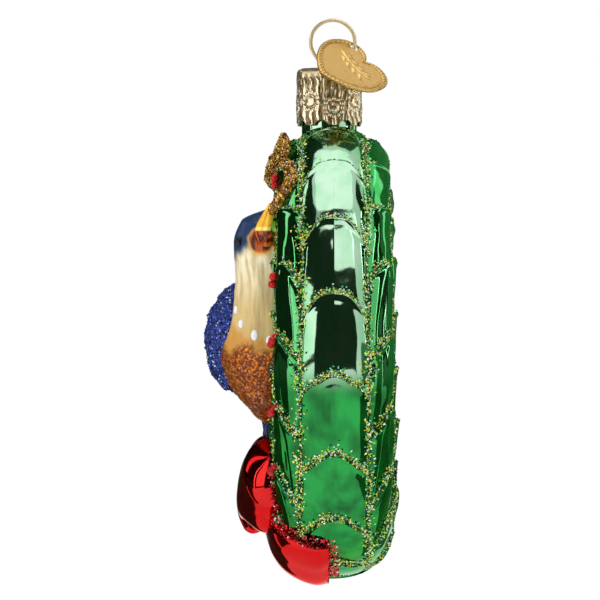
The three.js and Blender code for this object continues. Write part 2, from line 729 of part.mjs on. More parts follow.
// Hanging ring: one wire round the loop, through the cap and sprung out against the neck's bore

function ringWire() {
  const half = LEG_SPACING / 2;
  const spread = NECK_BORE_RADIUS - WIRE_RADIUS - SEAT_GAP;
  const leg = (side) =>
    [
      [spread, CAP_TOP - LEG_LENGTH],
      [spread * 0.97, CAP_TOP - LEG_LENGTH * 0.8],
      [spread * 0.62, CAP_TOP - LEG_LENGTH * 0.42],
      [half, CAP_TOP - CAP_SHEET - 1],
      [half, CAP_TOP + 0.05],
    ].map(([out, z]) => new THREE.Vector3(0, side * out - NECK_FORWARD, z));
  const start = Math.asin(half / RING_RADIUS) + 0.16;
  const loop = [];
  for (let i = 0; i <= 20; i++) {
    const angle = -Math.PI / 2 + start + ((2 * Math.PI - 2 * start) * i) / 20;
    loop.push(
      new THREE.Vector3(
        0,
        RING_RADIUS * Math.cos(angle),
        RING_MIDDLE + RING_RADIUS * Math.sin(angle),
      ),
    );
  }
  const route = new THREE.CatmullRomCurve3([...leg(1), ...loop, ...leg(-1).reverse()]);
  const round = new THREE.Shape().absarc(0, 0, WIRE_RADIUS, 0, 2 * Math.PI);
  return solidOf(
    new THREE.ExtrudeGeometry(round, {
      steps: 66,
      curveSegments: 3,
      bevelEnabled: false,
      extrudePath: route,
    }),
  );
}

// Tag: a stamped heart with a raised rim, hung by a hole in one lobe

// The notch is at 0, 0 and the point straight below it.
function heart(width, height) {
  const half = width / 2;
  const shape = new THREE.Shape();
  shape.moveTo(0, 0);
  shape.bezierCurveTo(0.1 * half, 0.23 * height, 0.95 * half, 0.31 * height, half, -0.26 * height);
  shape.bezierCurveTo(1.03 * half, -0.55 * height, 0.45 * half, -0.93 * height, 0, -height);
  shape.bezierCurveTo(-0.45 * half, -0.93 * height, -1.03 * half, -0.55 * height, -half, -0.26 * height);
  shape.bezierCurveTo(-0.95 * half, 0.31 * height, -0.1 * half, 0.23 * height, 0, 0);
  return shape;
}

function tagSolid() {
  const sheet = (shape, depth) => {
    const plate = new THREE.ExtrudeGeometry(shape, { depth, bevelEnabled: false, curveSegments: 9 });
    return solidOf(plate.translate(0, 0, -depth / 2));
  };
  const outline = heart(TAG_WIDTH, TAG_HEIGHT);
  const inner = heart(TAG_WIDTH - 2 * TAG_RIM, TAG_HEIGHT - 2.4 * TAG_RIM);
  const window = sheet(inner, TAG_RIM_HEIGHT * 2).translate([0, -0.9 * TAG_RIM, 0]);
  const hole = new THREE.CylinderGeometry(TAG_HOLE_RADIUS, TAG_HOLE_RADIUS, 4, 16);
  return sheet(outline, TAG_RIM_HEIGHT)
    .subtract(window)
    .add(sheet(outline, TAG_SHEET))
    .subtract(placed(hole.rotateX(Math.PI / 2), -TAG_HOLE_OFFSET, TAG_HOLE_RISE, 0));
}

// The tag hangs on the side of the ring and leans back on the rounded top edge of the cap.
function hungTag() {
  const mesh = meshOf("heart_tag", tagSolid(), "tag_brass");
  const pivot = new THREE.Vector3(
    0,
    RING_RADIUS * Math.cos(TAG_PLACE),
    RING_MIDDLE + RING_RADIUS * Math.sin(TAG_PLACE),
  );
  const aside = (pivot.y + NECK_FORWARD) * Math.sin(TAG_FACING);
  const reach = CAP_WIDTH / 2 / Math.cos(Math.PI / CAP_SIDES) - CAP_EDGE - aside;
  const drop = pivot.z - (CAP_TOP - CAP_EDGE);
  const clear = CAP_EDGE + SEAT_GAP + TAG_RIM_HEIGHT / 2;
  const lean = Math.atan2(drop, reach) - Math.asin(clear / Math.hypot(drop, reach));
  mesh.quaternion
    .setFromAxisAngle(new THREE.Vector3(0, 0, 1), TAG_FACING)
    .multiply(new THREE.Quaternion().setFromAxisAngle(new THREE.Vector3(0, 1, 0), lean))
    .multiply(new THREE.Quaternion().setFromAxisAngle(new THREE.Vector3(0, 0, 1), TAG_SPIN));
  const hole = new THREE.Vector3(-TAG_HOLE_OFFSET, TAG_HOLE_RISE, 0).applyQuaternion(mesh.quaternion);
  mesh.position.copy(pivot).sub(hole);
  return mesh;
}

// The ornament

const ornament = new THREE.Group();
ornament.name = "bird_ornament";

const glass = new THREE.Group();
glass.name = "glass";
const [red, gold] = [redBow(), goldBow()];
const glassPieces = {
  wreath_glass: [wreathGlass(), "green_glass"],
  ...birdPieces(),
  ...red.pieces,
  ...gold.pieces,
  ...berryClusters([tailSeat, beakSeat, ...red.seats, ...gold.seats]),
};
for (const [name, [solid, slot]] of Object.entries(glassPieces))
  glass.add(meshOf(name, solid, slot));

ornament.add(
  glass,
  meshOf("cap", capBrass(), "cap_brass"),
  meshOf("hanging_ring", ringWire(), "wire_gold"),
  hungTag(),
);

export default ornament;
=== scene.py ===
"""A blown-glass hanging ornament: a bird in a leaf wreath, with its bows, cap, ring and tag.

Lengths inside the modelling functions are millimetres, as in the part's source, and every finished
mesh is brought to metres when it becomes a piece. The front, with the bird, faces -Y.
"""

import bisect
import math
import random

import bmesh
import bpy
from bpy.props import FloatProperty, FloatVectorProperty, IntProperty, PointerProperty
from bpy.types import Operator, Panel, PropertyGroup
from bpy.utils import register_class, unregister_class
from mathutils import Matrix, Vector, noise
from mathutils.bvhtree import BVHTree


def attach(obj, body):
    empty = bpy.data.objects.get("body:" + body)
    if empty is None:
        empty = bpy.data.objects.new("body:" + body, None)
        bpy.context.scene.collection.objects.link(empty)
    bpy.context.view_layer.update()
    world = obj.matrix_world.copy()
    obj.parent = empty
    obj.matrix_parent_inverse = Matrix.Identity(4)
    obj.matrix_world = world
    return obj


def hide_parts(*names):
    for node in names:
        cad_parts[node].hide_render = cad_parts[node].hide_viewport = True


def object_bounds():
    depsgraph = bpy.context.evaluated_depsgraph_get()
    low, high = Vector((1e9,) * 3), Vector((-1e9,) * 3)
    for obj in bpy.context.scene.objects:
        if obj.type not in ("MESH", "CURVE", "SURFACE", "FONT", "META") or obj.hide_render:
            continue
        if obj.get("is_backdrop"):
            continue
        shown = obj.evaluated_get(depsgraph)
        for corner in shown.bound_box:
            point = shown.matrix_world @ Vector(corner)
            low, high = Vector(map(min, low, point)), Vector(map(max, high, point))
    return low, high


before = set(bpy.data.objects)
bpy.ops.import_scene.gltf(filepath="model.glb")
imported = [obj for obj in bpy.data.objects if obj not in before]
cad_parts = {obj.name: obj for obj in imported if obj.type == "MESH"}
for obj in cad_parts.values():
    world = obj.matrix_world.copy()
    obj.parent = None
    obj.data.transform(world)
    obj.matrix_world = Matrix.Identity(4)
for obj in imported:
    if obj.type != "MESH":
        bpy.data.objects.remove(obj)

bl_info = {
    "name": "Bird ornament",
    "version": (1, 0, 0),
    "blender": (4, 5, 0),
    "location": "View3D > Sidebar > Ornament",
    "description": "Builds a glass bird ornament with its leaf wreath, bows, cap, ring and tag",
    "category": "Object",
}

CAD_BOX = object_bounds()
MM = 0.001
UP = Vector((0, 0, 1))
FORWARD = Vector((0, -1, 0))

# Places that the frame's solids fix, in millimetres
RING_RADIUS = 4.31
RING_MIDDLE = -3.95
WIRE_RADIUS = 0.36
NECK_FORWARD = 0.7
NECK_RADIUS = 5.35
NECK_BORE = 4.35
CAP_WIDTH = 12.2
CAP_EDGE = 0.9
CAP_TOP = -9.12
CAP_SKIRT = -19.32
WREATH_RADIUS = 44.7
RIM_RADIUS = 43.5  # of the wreath, down in the valleys between leaves
WREATH_MIDDLE = -64.12
CREST_RADIUS = WREATH_RADIUS - 14.7
CREST_PLACE = 0.37  # of the section's length, from the middle of the rim to the crest
DISH_RADIUS = CREST_RADIUS - 15
HALF_DEPTH = 10.4
HALF_DISH = 4.5
SQUARENESS = 2.45
FOOT_SWELL = 0.11
FOOT_RAISE = 0.6
ROW_EDGES = (6.3, 15.5, 24.1, 31.1)  # over the section, from the middle of the rim
TIP_PLACE = 0.22  # of a rim leaf's tip within its pitch

# The bird, the bows and the berries are sized by the wreath
BIRD_PLANE = -12.3
BIRD_HEIGHT = 0.93 * WREATH_RADIUS
HEAD = 0.17 * BIRD_HEIGHT
NECK = 0.157 * BIRD_HEIGHT
BELLY = 0.245 * BIRD_HEIGHT
WING_WIDTH = 0.337 * BIRD_HEIGHT
WING_BULGE = 0.145 * BIRD_HEIGHT
TAIL_WIDTH = 0.193 * BIRD_HEIGHT
TAIL_LENGTH = 0.337 * BIRD_HEIGHT
BEAK_WIDTH = 0.11 * BIRD_HEIGHT
BEAK_LENGTH = 0.17 * BIRD_HEIGHT
EYE_RADIUS = 0.023 * BIRD_HEIGHT
RED_KNOT_UP = -0.705 * WREATH_RADIUS
RED_KNOT = 0.103 * WREATH_RADIUS  # half its width
RED_LOOP_LENGTH = 0.537 * WREATH_RADIUS
RED_LOOP_HALF = 0.185 * WREATH_RADIUS
RED_LOOP_DEEP = 0.125 * WREATH_RADIUS
RED_TAIL_FLARE = 0.47 * WREATH_RADIUS
RED_TAIL_DEPTH = 0.1 * WREATH_RADIUS
GOLD_KNOT_UP = 0.796 * WREATH_RADIUS
GOLD_KNOT = 0.0535 * WREATH_RADIUS
GOLD_LOOP_LENGTH = 0.313 * WREATH_RADIUS
GOLD_LOOP_HALF = 0.115 * WREATH_RADIUS
GOLD_LOOP_DEEP = 0.03 * WREATH_RADIUS
GOLD_TAIL_REACH = 0.57 * WREATH_RADIUS
GOLD_TAIL = 1.05  # its radius
LEAF_RAISE = 1.2
BERRY_RADIUS = 0.75
BERRY_PLACE = 0.86  # of the shoulder leaves' far edge


# Settings


def size_setting(name, description, millimetres):
    return FloatProperty(name=name, description=description, default=millimetres * MM, unit="LENGTH")


def colour_setting(name, description, default):
    return FloatVectorProperty(name=name, description=description, default=default, subtype="COLOR")


class WreathSettings(PropertyGroup):
    leaves: IntProperty(
        name="Leaves", description="Leaves up each side of the wreath", default=9, min=5, max=14
    )
    leaf_raise: size_setting("Leaf height", "Height of a leaf tip over the valleys", LEAF_RAISE)
    leaf_arch: size_setting("Leaf arch", "How far a tip runs ahead of the leaf's two sides", 3.6)
    rim_arch: size_setting("Rim arch", "How much further the tips of the rim's leaves run ahead", 1.8)
    lip: size_setting("Lip", "Height of the rounded bead along a leaf's tip", 0.16)
    waviness: size_setting("Waviness", "Unevenness of the blown glass", 0.13)
    # Pale green of the upper rim: partly thinner lacquer, partly a painted highlight of the lamps
    thin_lacquer_highlight: colour_setting("Thin lacquer highlight", "Green near the neck", (0.42, 0.62, 0.46))
    full_lacquer: colour_setting(
        "Full lacquer", "Green of the side leaves and the leaves' edges near the neck", (0.07, 0.42, 0.12)
    )
    thick_lacquer: colour_setting(
        "Thick lacquer", "Green near the foot, where the lacquer gathers", (0.011, 0.195, 0.036)
    )


class BirdSettings(PropertyGroup):
    crown: colour_setting("Crown", "Blue of the head", (0.012, 0.036, 0.115))
    chest: colour_setting("Chest", "Cream of the chest", (0.92, 0.83, 0.57))
    streak: colour_setting("Streak", "Brown of the chest's streaks", (0.52, 0.35, 0.15))
    amber: colour_setting("Amber", "Colour between chest and belly", (0.6, 0.29, 0.05))
    belly: colour_setting("Belly", "Rust of the belly", (0.17, 0.028, 0.002))
    wing: colour_setting("Wing", "Blue of wing and tail", (0.016, 0.03, 0.2))
    beak: colour_setting("Beak", "Yellow of the beak", (1.0, 0.7, 0.06))


class BowSettings(PropertyGroup):
    red: colour_setting("Red", "Lacquer of the lower bow", (0.68, 0.02, 0.018))
    gold: colour_setting("Gold", "Glitter of the upper bow", (0.22, 0.08, 0.008))
    berry: colour_setting("Berry", "Paint of the berries", (0.62, 0.004, 0.008))
    pleat: size_setting("Pleat", "Depth of the folds in the bows", 0.5)


class MetalSettings(PropertyGroup):
    emboss: size_setting("Emboss", "Height of the cap's stamped relief", 0.24)
    sheet: size_setting("Sheet", "Thickness of the cap's sheet", 0.4)
    cap: colour_setting("Cap", "Champagne of the cap", (0.95, 0.78, 0.54))
    wire: colour_setting("Wire", "Pale gold of the ring", (0.78, 0.62, 0.34))
    tag: colour_setting("Tag", "Gold of the heart tag", (0.85, 0.56, 0.2))


class GlitterSettings(PropertyGroup):
    flake: size_setting("Flake", "Radius of a glitter flake", 0.24)
    density: FloatProperty(
        name="Density", description="Flakes to a millimetre of a glitter band", default=31, min=1, max=60
    )
    seed: IntProperty(name="Seed", description="Scatter of the flakes", default=11)


class StageSettings(PropertyGroup):
    distance: size_setting("Distance", "From the camera to the ornament", 900)
    drop: size_setting("Drop", "From the ornament's foot to the floor", 50)
    fill: FloatProperty(
        name="Fill", description="Light that comes from all round", default=0.92, min=0, max=1
    )


# Nodes. A value may be plain, or the output of another node.


def fill(tree, made, inputs):
    """Give a node's inputs their values."""
    for name, value in inputs.items():
        socket = made.inputs[name]
        if isinstance(value, bpy.types.NodeSocket):
            tree.links.new(value, socket)
        else:
            socket.default_value = (*value, 1) if socket.type == "RGBA" else value
    return made


def node(tree, kind, inputs=None, **settings):
    """Add a shader node with its settings and the values of its inputs."""
    made = tree.nodes.new(f"ShaderNode{kind}")
    for name, value in settings.items():
        setattr(made, name, value)
    return fill(tree, made, inputs or {})


def maths(tree, operation, one, two):
    return node(tree, "Math", {0: one, 1: two}, operation=operation).outputs["Value"]


def mixed(tree, mask, low, high):
    """Mix two colours by a mask."""
    return node(tree, "Mix", {"Factor": mask, "A": low, "B": high}, data_type="RGBA").outputs["Result"]


def between(tree, value, low, high, **settings):
    """0 where the value is low and 1 where it is high."""
    inputs = {"Value": value, "From Min": low, "From Max": high}
    return node(tree, "MapRange", inputs, **settings).outputs["Result"]


def ranged(tree, value, low, high):
    """Bring a value from 0..1 to another range."""
    return node(tree, "MapRange", {"Value": value, "To Min": low, "To Max": high}).outputs["Result"]


def attribute(tree, name, output="Fac"):
    return node(tree, "Attribute", attribute_name=name).outputs[output]


def object_place(tree, upright=None):
    """Object coordinates, squeezed upwards so that a pattern on them runs upright."""
    place = node(tree, "TexCoord").outputs["Object"]
    if upright is None:
        return place
    return node(tree, "Mapping", {"Vector": place, "Scale": (1.0, 1.0, upright)}).outputs["Vector"]


def height_mask(tree, low, high):
    """0 below one height of the ornament and 1 above another, in millimetres."""
    height = node(tree, "SeparateXYZ", {"Vector": object_place(tree)}).outputs["Z"]
    return between(tree, height, low * MM, high * MM, interpolation_type="SMOOTHSTEP")


def mottling(tree, place, scale, detail, roughness=0.5):
    inputs = {"Vector": place, "Scale": scale, "Detail": detail, "Roughness": roughness}
    return node(tree, "TexNoise", inputs).outputs["Fac"]


def dented(tree, height, strength, distance):
    inputs = {"Height": height, "Strength": strength, "Distance": distance}
    return node(tree, "Bump", inputs).outputs["Normal"]


def new_group(name, inputs, **outputs):
    """Start a shader node group from its inputs with their defaults and its outputs with their kinds."""
    tree = bpy.data.node_groups.new(name, "ShaderNodeTree")
    for title, default in inputs.items():
        is_colour = isinstance(default, tuple)
        kind = "NodeSocketColor" if is_colour else "NodeSocketFloat"
        socket = tree.interface.new_socket(title, in_out="INPUT", socket_type=kind)
        socket.default_value = (*default, 1) if is_colour else default
    for title, kind in outputs.items():
        tree.interface.new_socket(title, in_out="OUTPUT", socket_type=f"NodeSocket{kind}")
    return tree, tree.nodes.new("NodeGroupInput").outputs, tree.nodes.new("NodeGroupOutput")


def ripple_group():
    """Shallow waves and specks in a lacquered or painted surface."""
    tree, given, out = new_group(
        "Ripple", {"Scale": 200.0, "Depth": 0.1, "Speck": 0.02}, Normal="Vector", Value="Float"
    )
    place = object_place(tree)
    wave = mottling(tree, place, given["Scale"], 2.0, roughness=0.45)
    speck = maths(tree, "MULTIPLY", mottling(tree, place, 3200.0, 1.0), given["Speck"])
    normal = dented(tree, maths(tree, "ADD", wave, speck), given["Depth"], 0.0004)
    fill(tree, out, {"Normal": normal, "Value": wave})


def glitter_group():
    """A ground of tiny plates: each cell has its own tilt and its own shade of the given colours. The spark
    colour on the brighter cells is a painted glint.
    """
    tree, given, out = new_group(
        "Glitter ground",
        {"Scale": 2400.0, "Tilt": 0.8, "Ground": (0.2, 0.1, 0.02), "Spark": (1.0, 0.8, 0.4)},
        Color="Color",
        Normal="Vector",
        Spark="Float",
    )
    cell = node(tree, "TexVoronoi", {"Vector": object_place(tree), "Scale": given["Scale"]})
    parts = node(tree, "SeparateColor", {"Color": cell.outputs["Color"]}).outputs
    bright = between(tree, parts["Red"], 0.55, 1.0)
    tinted = mixed(tree, bright, given["Ground"], given["Spark"])
    normal = dented(tree, parts["Green"], given["Tilt"], 0.0002)
    fill(tree, out, {"Color": tinted, "Normal": normal, "Spark": bright})


def place_group(tree, name, **values):
    """Place a shared node group in a material with its own values."""
    return node(tree, "Group", values, node_tree=bpy.data.node_groups[name]).outputs


def new_material(name, **values):
    """Start a material. Values are those of the shader's own sockets."""
    material = bpy.data.materials.new(name)
    material.use_nodes = True
    shader = material.node_tree.nodes["Principled BSDF"]
    own = {title.replace("_", " "): value for title, value in values.items()}
    return material, material.node_tree, fill(material.node_tree, shader, own)


def dress(tree, shader, tinted, roughness, normal):
    """Give the shader what changes over the surface."""
    fill(tree, shader, {"Base Color": tinted, "Roughness": roughness, "Normal": normal})


def green_lacquer(settings):
    """Mirror-like green: thin and pale on the upper rim, full on the sides, thick near the foot. The pale
    upper rim, palest in its leaves' middles, is partly painted highlight where the lamps reflect.
    """
    # Below the first height the thick green, above the second the pale green with its painted highlight
    thick_below, thin_highlight_above = -72, -66
    groove_shade_green = (0.004, 0.07, 0.02)
    _, tree, shader = new_material(
        "green_lacquer",
        Metallic=1.0,
        Coat_Weight=0.25,
        Coat_Roughness=0.03,
        Coat_IOR=1.5,
        Specular_Tint=(0.25, 0.75, 0.35),
    )
    runs = mottling(tree, object_place(tree, upright=0.2), 420.0, 3.0)
    clouds = mottling(tree, object_place(tree), 190.0, 1.0)
    film_and_highlight = maths(tree, "ADD", attribute(tree, "film_and_highlight"), ranged(tree, runs, -0.5, 0.5))
    upper = mixed(tree, film_and_highlight, settings.thin_lacquer_highlight, settings.full_lacquer)
    dark, bright = ([value * share for value in settings.thick_lacquer] for share in (0.6, 1.6))
    thick = mixed(tree, between(tree, maths(tree, "ADD", runs, clouds), 0.74, 1.26), dark, bright)
    lacquer = mixed(tree, height_mask(tree, thick_below, thin_highlight_above), thick, upper)
    groove = attribute(tree, "groove")
    ripple = place_group(tree, "Ripple", Scale=260.0, Depth=0.12, Speck=0.01)
    # Painted shade: the grooves take a darker green; their higher roughness is the glue
    tinted = mixed(tree, groove, lacquer, groove_shade_green)
    dress(tree, shader, tinted, ranged(tree, groove, 0.07, 0.4), ripple["Normal"])


def red_lacquer(settings):
    """Mirror-like red, darker in patches that follow the ripple's waves."""
    dark_patch_red = (0.5, 0.008, 0.01)
    _, tree, shader = new_material(
        "red_lacquer",
        Metallic=1.0,
        Coat_Weight=0.15,
        Coat_Roughness=0.03,
        Coat_IOR=1.5,
        Specular_Tint=(0.9, 0.12, 0.1),
    )
    ripple = place_group(tree, "Ripple", Scale=220.0, Depth=0.12, Speck=0.01)
    tinted = mixed(tree, ripple["Value"], settings.red, dark_patch_red)
    dress(tree, shader, tinted, ranged(tree, ripple["Value"], 0.05, 0.12), ripple["Normal"])


def glitter_coat(name, ground, spark, scale):
    """Glitter stuck on a painted ground. Its brighter cells are shinier and more metallic, and their spark
    colour is a painted glint.
    """
    _, tree, shader = new_material(name, Coat_Weight=0.2)
    cells = place_group(tree, "Glitter ground", Scale=scale, Tilt=0.9, Ground=ground, Spark=spark)
    dress(tree, shader, cells["Color"], ranged(tree, cells["Spark"], 0.45, 0.2), cells["Normal"])
    fill(tree, shader, {"Metallic": ranged(tree, cells["Spark"], 0.45, 0.9)})


def flake_finish():
    """Loose flakes take their colour from their own tint, which for some flakes is a painted glint or painted
    shade.
    """
    _, tree, shader = new_material("glitter_flakes", Metallic=0.65)
    ripple = place_group(tree, "Ripple", Scale=1800.0, Depth=0.1, Speck=0.1)
    roughness = ranged(tree, ripple["Value"], 0.15, 0.35)
    fill(tree, shader, {"Base Color": attribute(tree, "tint", "Color"), "Roughness": roughness})


def bird_paint(settings):
    """Satin paint: blue crown, orange face, streaked cream chest, and a rust belly with glitter."""
    cream_from, cream_to = -57, -46
    cream_shares = (0.74, 0.6, 0.36)  # of the chest's colour, low down
    # Painted glint: the bright orange of the belly's brighter glitter cells
    belly_spark, fringe_orange = (0.95, 0.27, 0.015), (0.85, 0.42, 0.06)
    rust_light, rust_dark = (0.55, 0.085, 0.004), (0.08, 0.01, 0.002)
    _, tree, shader = new_material(
        "satin_bird_paint", Coat_Weight=0.12, Coat_Roughness=0.3, Specular_IOR_Level=0.3
    )
    streaks = mottling(tree, object_place(tree, upright=0.16), 900.0, 3.0)
    low_chest = [value * share for value, share in zip(settings.chest, cream_shares)]
    paint = mixed(tree, height_mask(tree, cream_from, cream_to), low_chest, settings.chest)
    paint = mixed(tree, between(tree, streaks, 0.42, 0.72), paint, settings.streak)
    paint = mixed(tree, attribute(tree, "amber"), paint, settings.amber)
    cells = place_group(
        tree, "Glitter ground", Scale=2600.0, Tilt=0.7, Ground=settings.belly, Spark=belly_spark
    )
    belly = attribute(tree, "belly")
    paint = mixed(tree, belly, paint, cells["Color"])
    paint = mixed(tree, attribute(tree, "fringe"), paint, fringe_orange)
    rust = mixed(tree, between(tree, streaks, 0.4, 0.56), rust_light, rust_dark)
    paint = mixed(tree, attribute(tree, "face"), paint, rust)
    paint = mixed(tree, attribute(tree, "crown"), paint, settings.crown)
    dress(tree, shader, paint, ranged(tree, streaks, 0.3, 0.45), dented(tree, streaks, 0.35, 0.0005))
    shiny = maths(tree, "MULTIPLY", belly, cells["Spark"])
    fill(tree, shader, {"Metallic": ranged(tree, shiny, 0.05, 0.8)})


def gloss_paint(name, tint, dark, coat=0.4, roughness=0.12, depth=0.12):
    """Wet-looking paint with slight unevenness."""
    _, tree, shader = new_material(
        name, Coat_Weight=coat, Coat_Roughness=0.04, Coat_IOR=1.5, Specular_IOR_Level=0.3
    )
    ripple = place_group(tree, "Ripple", Scale=420.0, Depth=depth, Speck=0.02)
    tinted = mixed(tree, ripple["Value"], tint, dark)
    dress(tree, shader, tinted, ranged(tree, ripple["Value"], roughness, roughness * 2), ripple["Normal"])


def beak_gloss(settings):
    """Golden above, with a pale line where it ends, and streaked rust with an orange fringe below."""
    deep_gold, pale_gold, fringe_orange = (0.88, 0.34, 0.008), (0.98, 0.84, 0.2), (0.9, 0.45, 0.06)
    rust_light, rust_dark = (0.62, 0.1, 0.004), (0.09, 0.01, 0.002)
    _, tree, shader = new_material(
        "beak_gloss",
        Roughness=0.18,
        Coat_Weight=0.25,
        Coat_Roughness=0.06,
        Coat_IOR=1.5,
        Specular_IOR_Level=0.3,
    )
    ripple = place_group(tree, "Ripple", Scale=700.0, Depth=0.14, Speck=0.02)
    gold = mixed(tree, ripple["Value"], settings.beak, deep_gold)
    streaks = mottling(tree, object_place(tree, upright=0.25), 1100.0, 2.0)
    rust = mixed(tree, between(tree, streaks, 0.4, 0.58), rust_light, rust_dark)
    low = mixed(tree, height_mask(tree, -44.6, -43.4), fringe_orange, rust)
    pale = mixed(tree, height_mask(tree, -41.1, -40.7), low, pale_gold)
    tinted = mixed(tree, height_mask(tree, -40.4, -40.1), pale, gold)
    fill(tree, shader, {"Base Color": tinted, "Normal": ripple["Normal"]})


def plated(name, tint, tarnish_and_shade, polish, depth, metallic=1.0):
    """Plated metal, darker and rougher in its low places: partly tarnished metal, partly painted shade.
    Polish is its roughness, high and low.
    """
    _, tree, shader = new_material(name, Metallic=metallic)
    ripple = place_group(tree, "Ripple", Scale=900.0, Depth=depth, Speck=0.05)
    low = attribute(tree, "low")
    dress(tree, shader, mixed(tree, low, tint, tarnish_and_shade), ranged(tree, low, *polish), ripple["Normal"])


# Shapes


def clamp(value, low=0.0, high=1.0):
    return max(low, min(high, value))


def smooth(value):
    value = clamp(value)
    return value * value * (3 - 2 * value)


def bump_at(value, middle, width):
    """A round bump of height 1."""
    return math.exp(-(((value - middle) / width) ** 2))


def wander(point, size, seed=0.0):
    """Smooth noise between about -0.5 and 0.5 whose waves are of the given size."""
    return noise.noise(point / size + Vector((seed, 2 * seed, 3 * seed)))


def along_spline(points, share):
    """A point of the centripetal Catmull-Rom spline through the points."""
    last = len(points) - 1
    index = min(int(share * last), last - 1)
    part = share * last - index
    one, two = points[index], points[index + 1]
    before = points[index - 1] if index else 2 * one - two
    after = points[index + 2] if index + 2 <= last else 2 * two - one
    gaps = [math.sqrt((b - a).length) for a, b in ((before, one), (one, two), (two, after))]
    middle = gaps[1] if gaps[1] > 1e-4 else 1.0
    first, third = (gap if gap > 1e-4 else middle for gap in (gaps[0], gaps[2]))
    start = ((one - before) / first - (two - before) / (first + middle) + (two - one) / middle) * middle
    end = ((two - one) / middle - (after - one) / (middle + third) + (after - two) / third) * middle
    return (
        one
        + start * part
        + (3 * (two - one) - 2 * start - end) * part**2
        + (2 * (one - two) + start + end) * part**3
    )


def polar(radius, angle, height):
    return Vector((radius * math.cos(angle), radius * math.sin(angle), height))


def fluted(depth, count):
    """Relief of a number of flutes along a form."""
    return lambda share, angle: depth * math.cos(count * angle)


def seal(bm, reach=1e-4):
    """Merge doubles, then point every face outwards."""
    bmesh.ops.remove_doubles(bm, verts=bm.verts, dist=reach)
    bmesh.ops.recalc_face_normals(bm, faces=bm.faces)


def in_order(bm):
    """Put the faces in one order. Turning and the ball operator leave them in another each run."""
    bm.verts.index_update()
    count = len(bm.verts)
    bm.faces.sort(key=lambda face: face.verts[0].index * count + face.verts[2].index)


def turned_edge(bm, verts, middle, angle, steps):
    """Turn the line through the vertices round the upright through the middle."""
    edges = [bm.edges.new(pair) for pair in zip(verts, verts[1:])]
    whole = angle == math.tau
    bmesh.ops.spin(
        bm, geom=verts + edges, axis=UP, cent=middle, angle=angle, steps=steps, use_merge=whole
    )
    in_order(bm)


def ball(sides, rings, radius=1):
    bm = bmesh.new()
    bmesh.ops.create_uvsphere(bm, u_segments=sides, v_segments=rings, radius=radius)
    in_order(bm)
    return bm


def lofted(stations, outward, sides=48, steps=64, even=False, relief=None):
    """A closed form of oval sections along a spline, made from a ball whose poles are its two ends.

    A station is a place, a radius across and a radius outwards. Relief gives extra height at a
    share of the length and an angle round the section.
    """
    spine = [Vector(place) for place, _, _ in stations]
    radii = [Vector((across, deep, 0)) for _, across, deep in stations]
    sections = {}
    bm = ball(sides, steps)
    for vert in bm.verts:
        level = round(vert.co.z, 6)
        if level not in sections:
            share = math.acos(clamp(level, -1)) / math.pi if even else (1 - level) / 2
            middle = along_spline(spine, share)
            step = along_spline(spine, min(share + 1e-3, 1)) - along_spline(spine, max(share - 1e-3, 0))
            way = step.normalized()
            out = outward(middle)
            out = (out - way * out.dot(way)).normalized()
            sections[level] = (share, middle, way.cross(out), out, along_spline(radii, share))
        share, middle, side, out, (across, deep, _) = sections[level]
        angle = math.atan2(vert.co.y, vert.co.x)
        if abs(level) > 1 - 1e-6:
            vert.co = middle
            continue
        extra = relief(share, angle) if relief else 0
        vert.co = (
            middle
            + side * (max(across, 0.1) + extra) * math.cos(angle)
            + out * (max(deep, 0.1) + extra) * math.sin(angle)
        )
    bmesh.ops.recalc_face_normals(bm, faces=bm.faces)
    return bm


def rumple(bm, depth, size, seed=0.0, fine=0.0):
    """Move every vertex along its normal by smooth noise, and a little at random."""
    rng = random.Random(seed)
    bm.normal_update()
    moves = []
    for vert in bm.verts:
        wave = wander(vert.co, size, seed) * 2 * depth
        moves.append(vert.normal * (wave + rng.uniform(-fine, fine)))
    for vert, move in zip(bm.verts, moves):
        vert.co += move


def mesh_of(name, bm):
    """A mesh from a bmesh, which is used up."""
    mesh = bpy.data.meshes.new(name)
    bm.to_mesh(mesh)
    bm.free()
    return mesh


def in_scene(name, data):
    """An object in the scene for a mesh, a lamp or a camera."""
    made = bpy.data.objects.new(name, data)
    bpy.context.scene.collection.objects.link(made)
    return made


def finish_piece(name, bm, material, body, slot, replaced=(), facets=False, sharp=None):
    """Make the mesh a piece in metres that rides on its body and stands for its CAD nodes."""
    if not bm.faces:
        raise RuntimeError(f"{name} has no faces")
    mesh = mesh_of(name, bm)
    mesh.transform(Matrix.Scale(MM, 4))
    if not facets:
        mesh.shade_smooth()
    if sharp:
        mesh.set_sharp_from_angle(angle=math.radians(sharp))
    mesh.materials.append(bpy.data.materials[material])
    piece = in_scene(name, mesh)
    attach(piece, body)
    if replaced:
        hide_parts(*replaced)
    return piece


def joined(parts):
    """One bmesh from several. The parts are used up."""
    bm = bmesh.new()
    for part in parts:
        mesh = mesh_of("part", part)
        bm.from_mesh(mesh)
        bpy.data.meshes.remove(mesh)
    return bm


def surface_of(name):
    """A finished piece's surface in millimetres, to find the nearest place on it."""
    bm = bmesh.new()
    bm.from_mesh(bpy.data.objects[name].data)
    bmesh.ops.transform(bm, matrix=Matrix.Scale(1 / MM, 4), verts=bm.verts)
    tree = BVHTree.FromBMesh(bm)
    bm.free()
    return tree


def places_on(name, count, rng, where=None):
    """Random places on a piece with their normals, in millimetres, spread by area."""
    mesh = bpy.data.objects[name].data
    mesh.calc_loop_triangles()
    triangles = mesh.loop_triangles
    total, sums = 0.0, []
    for triangle in triangles:
        total += triangle.area
        sums.append(total)
    places = []
    for _ in range(count):
        triangle = triangles[min(bisect.bisect(sums, rng.random() * total), len(sums) - 1)]
        one, two, three = (mesh.vertices[i].co / MM for i in triangle.vertices)
        u, v = sorted((rng.random(), rng.random()))
        spot = one * u + two * (v - u) + three * (1 - v)
        if where is None or where(spot, triangle.normal):
            places.append((spot, triangle.normal.copy()))
    return places


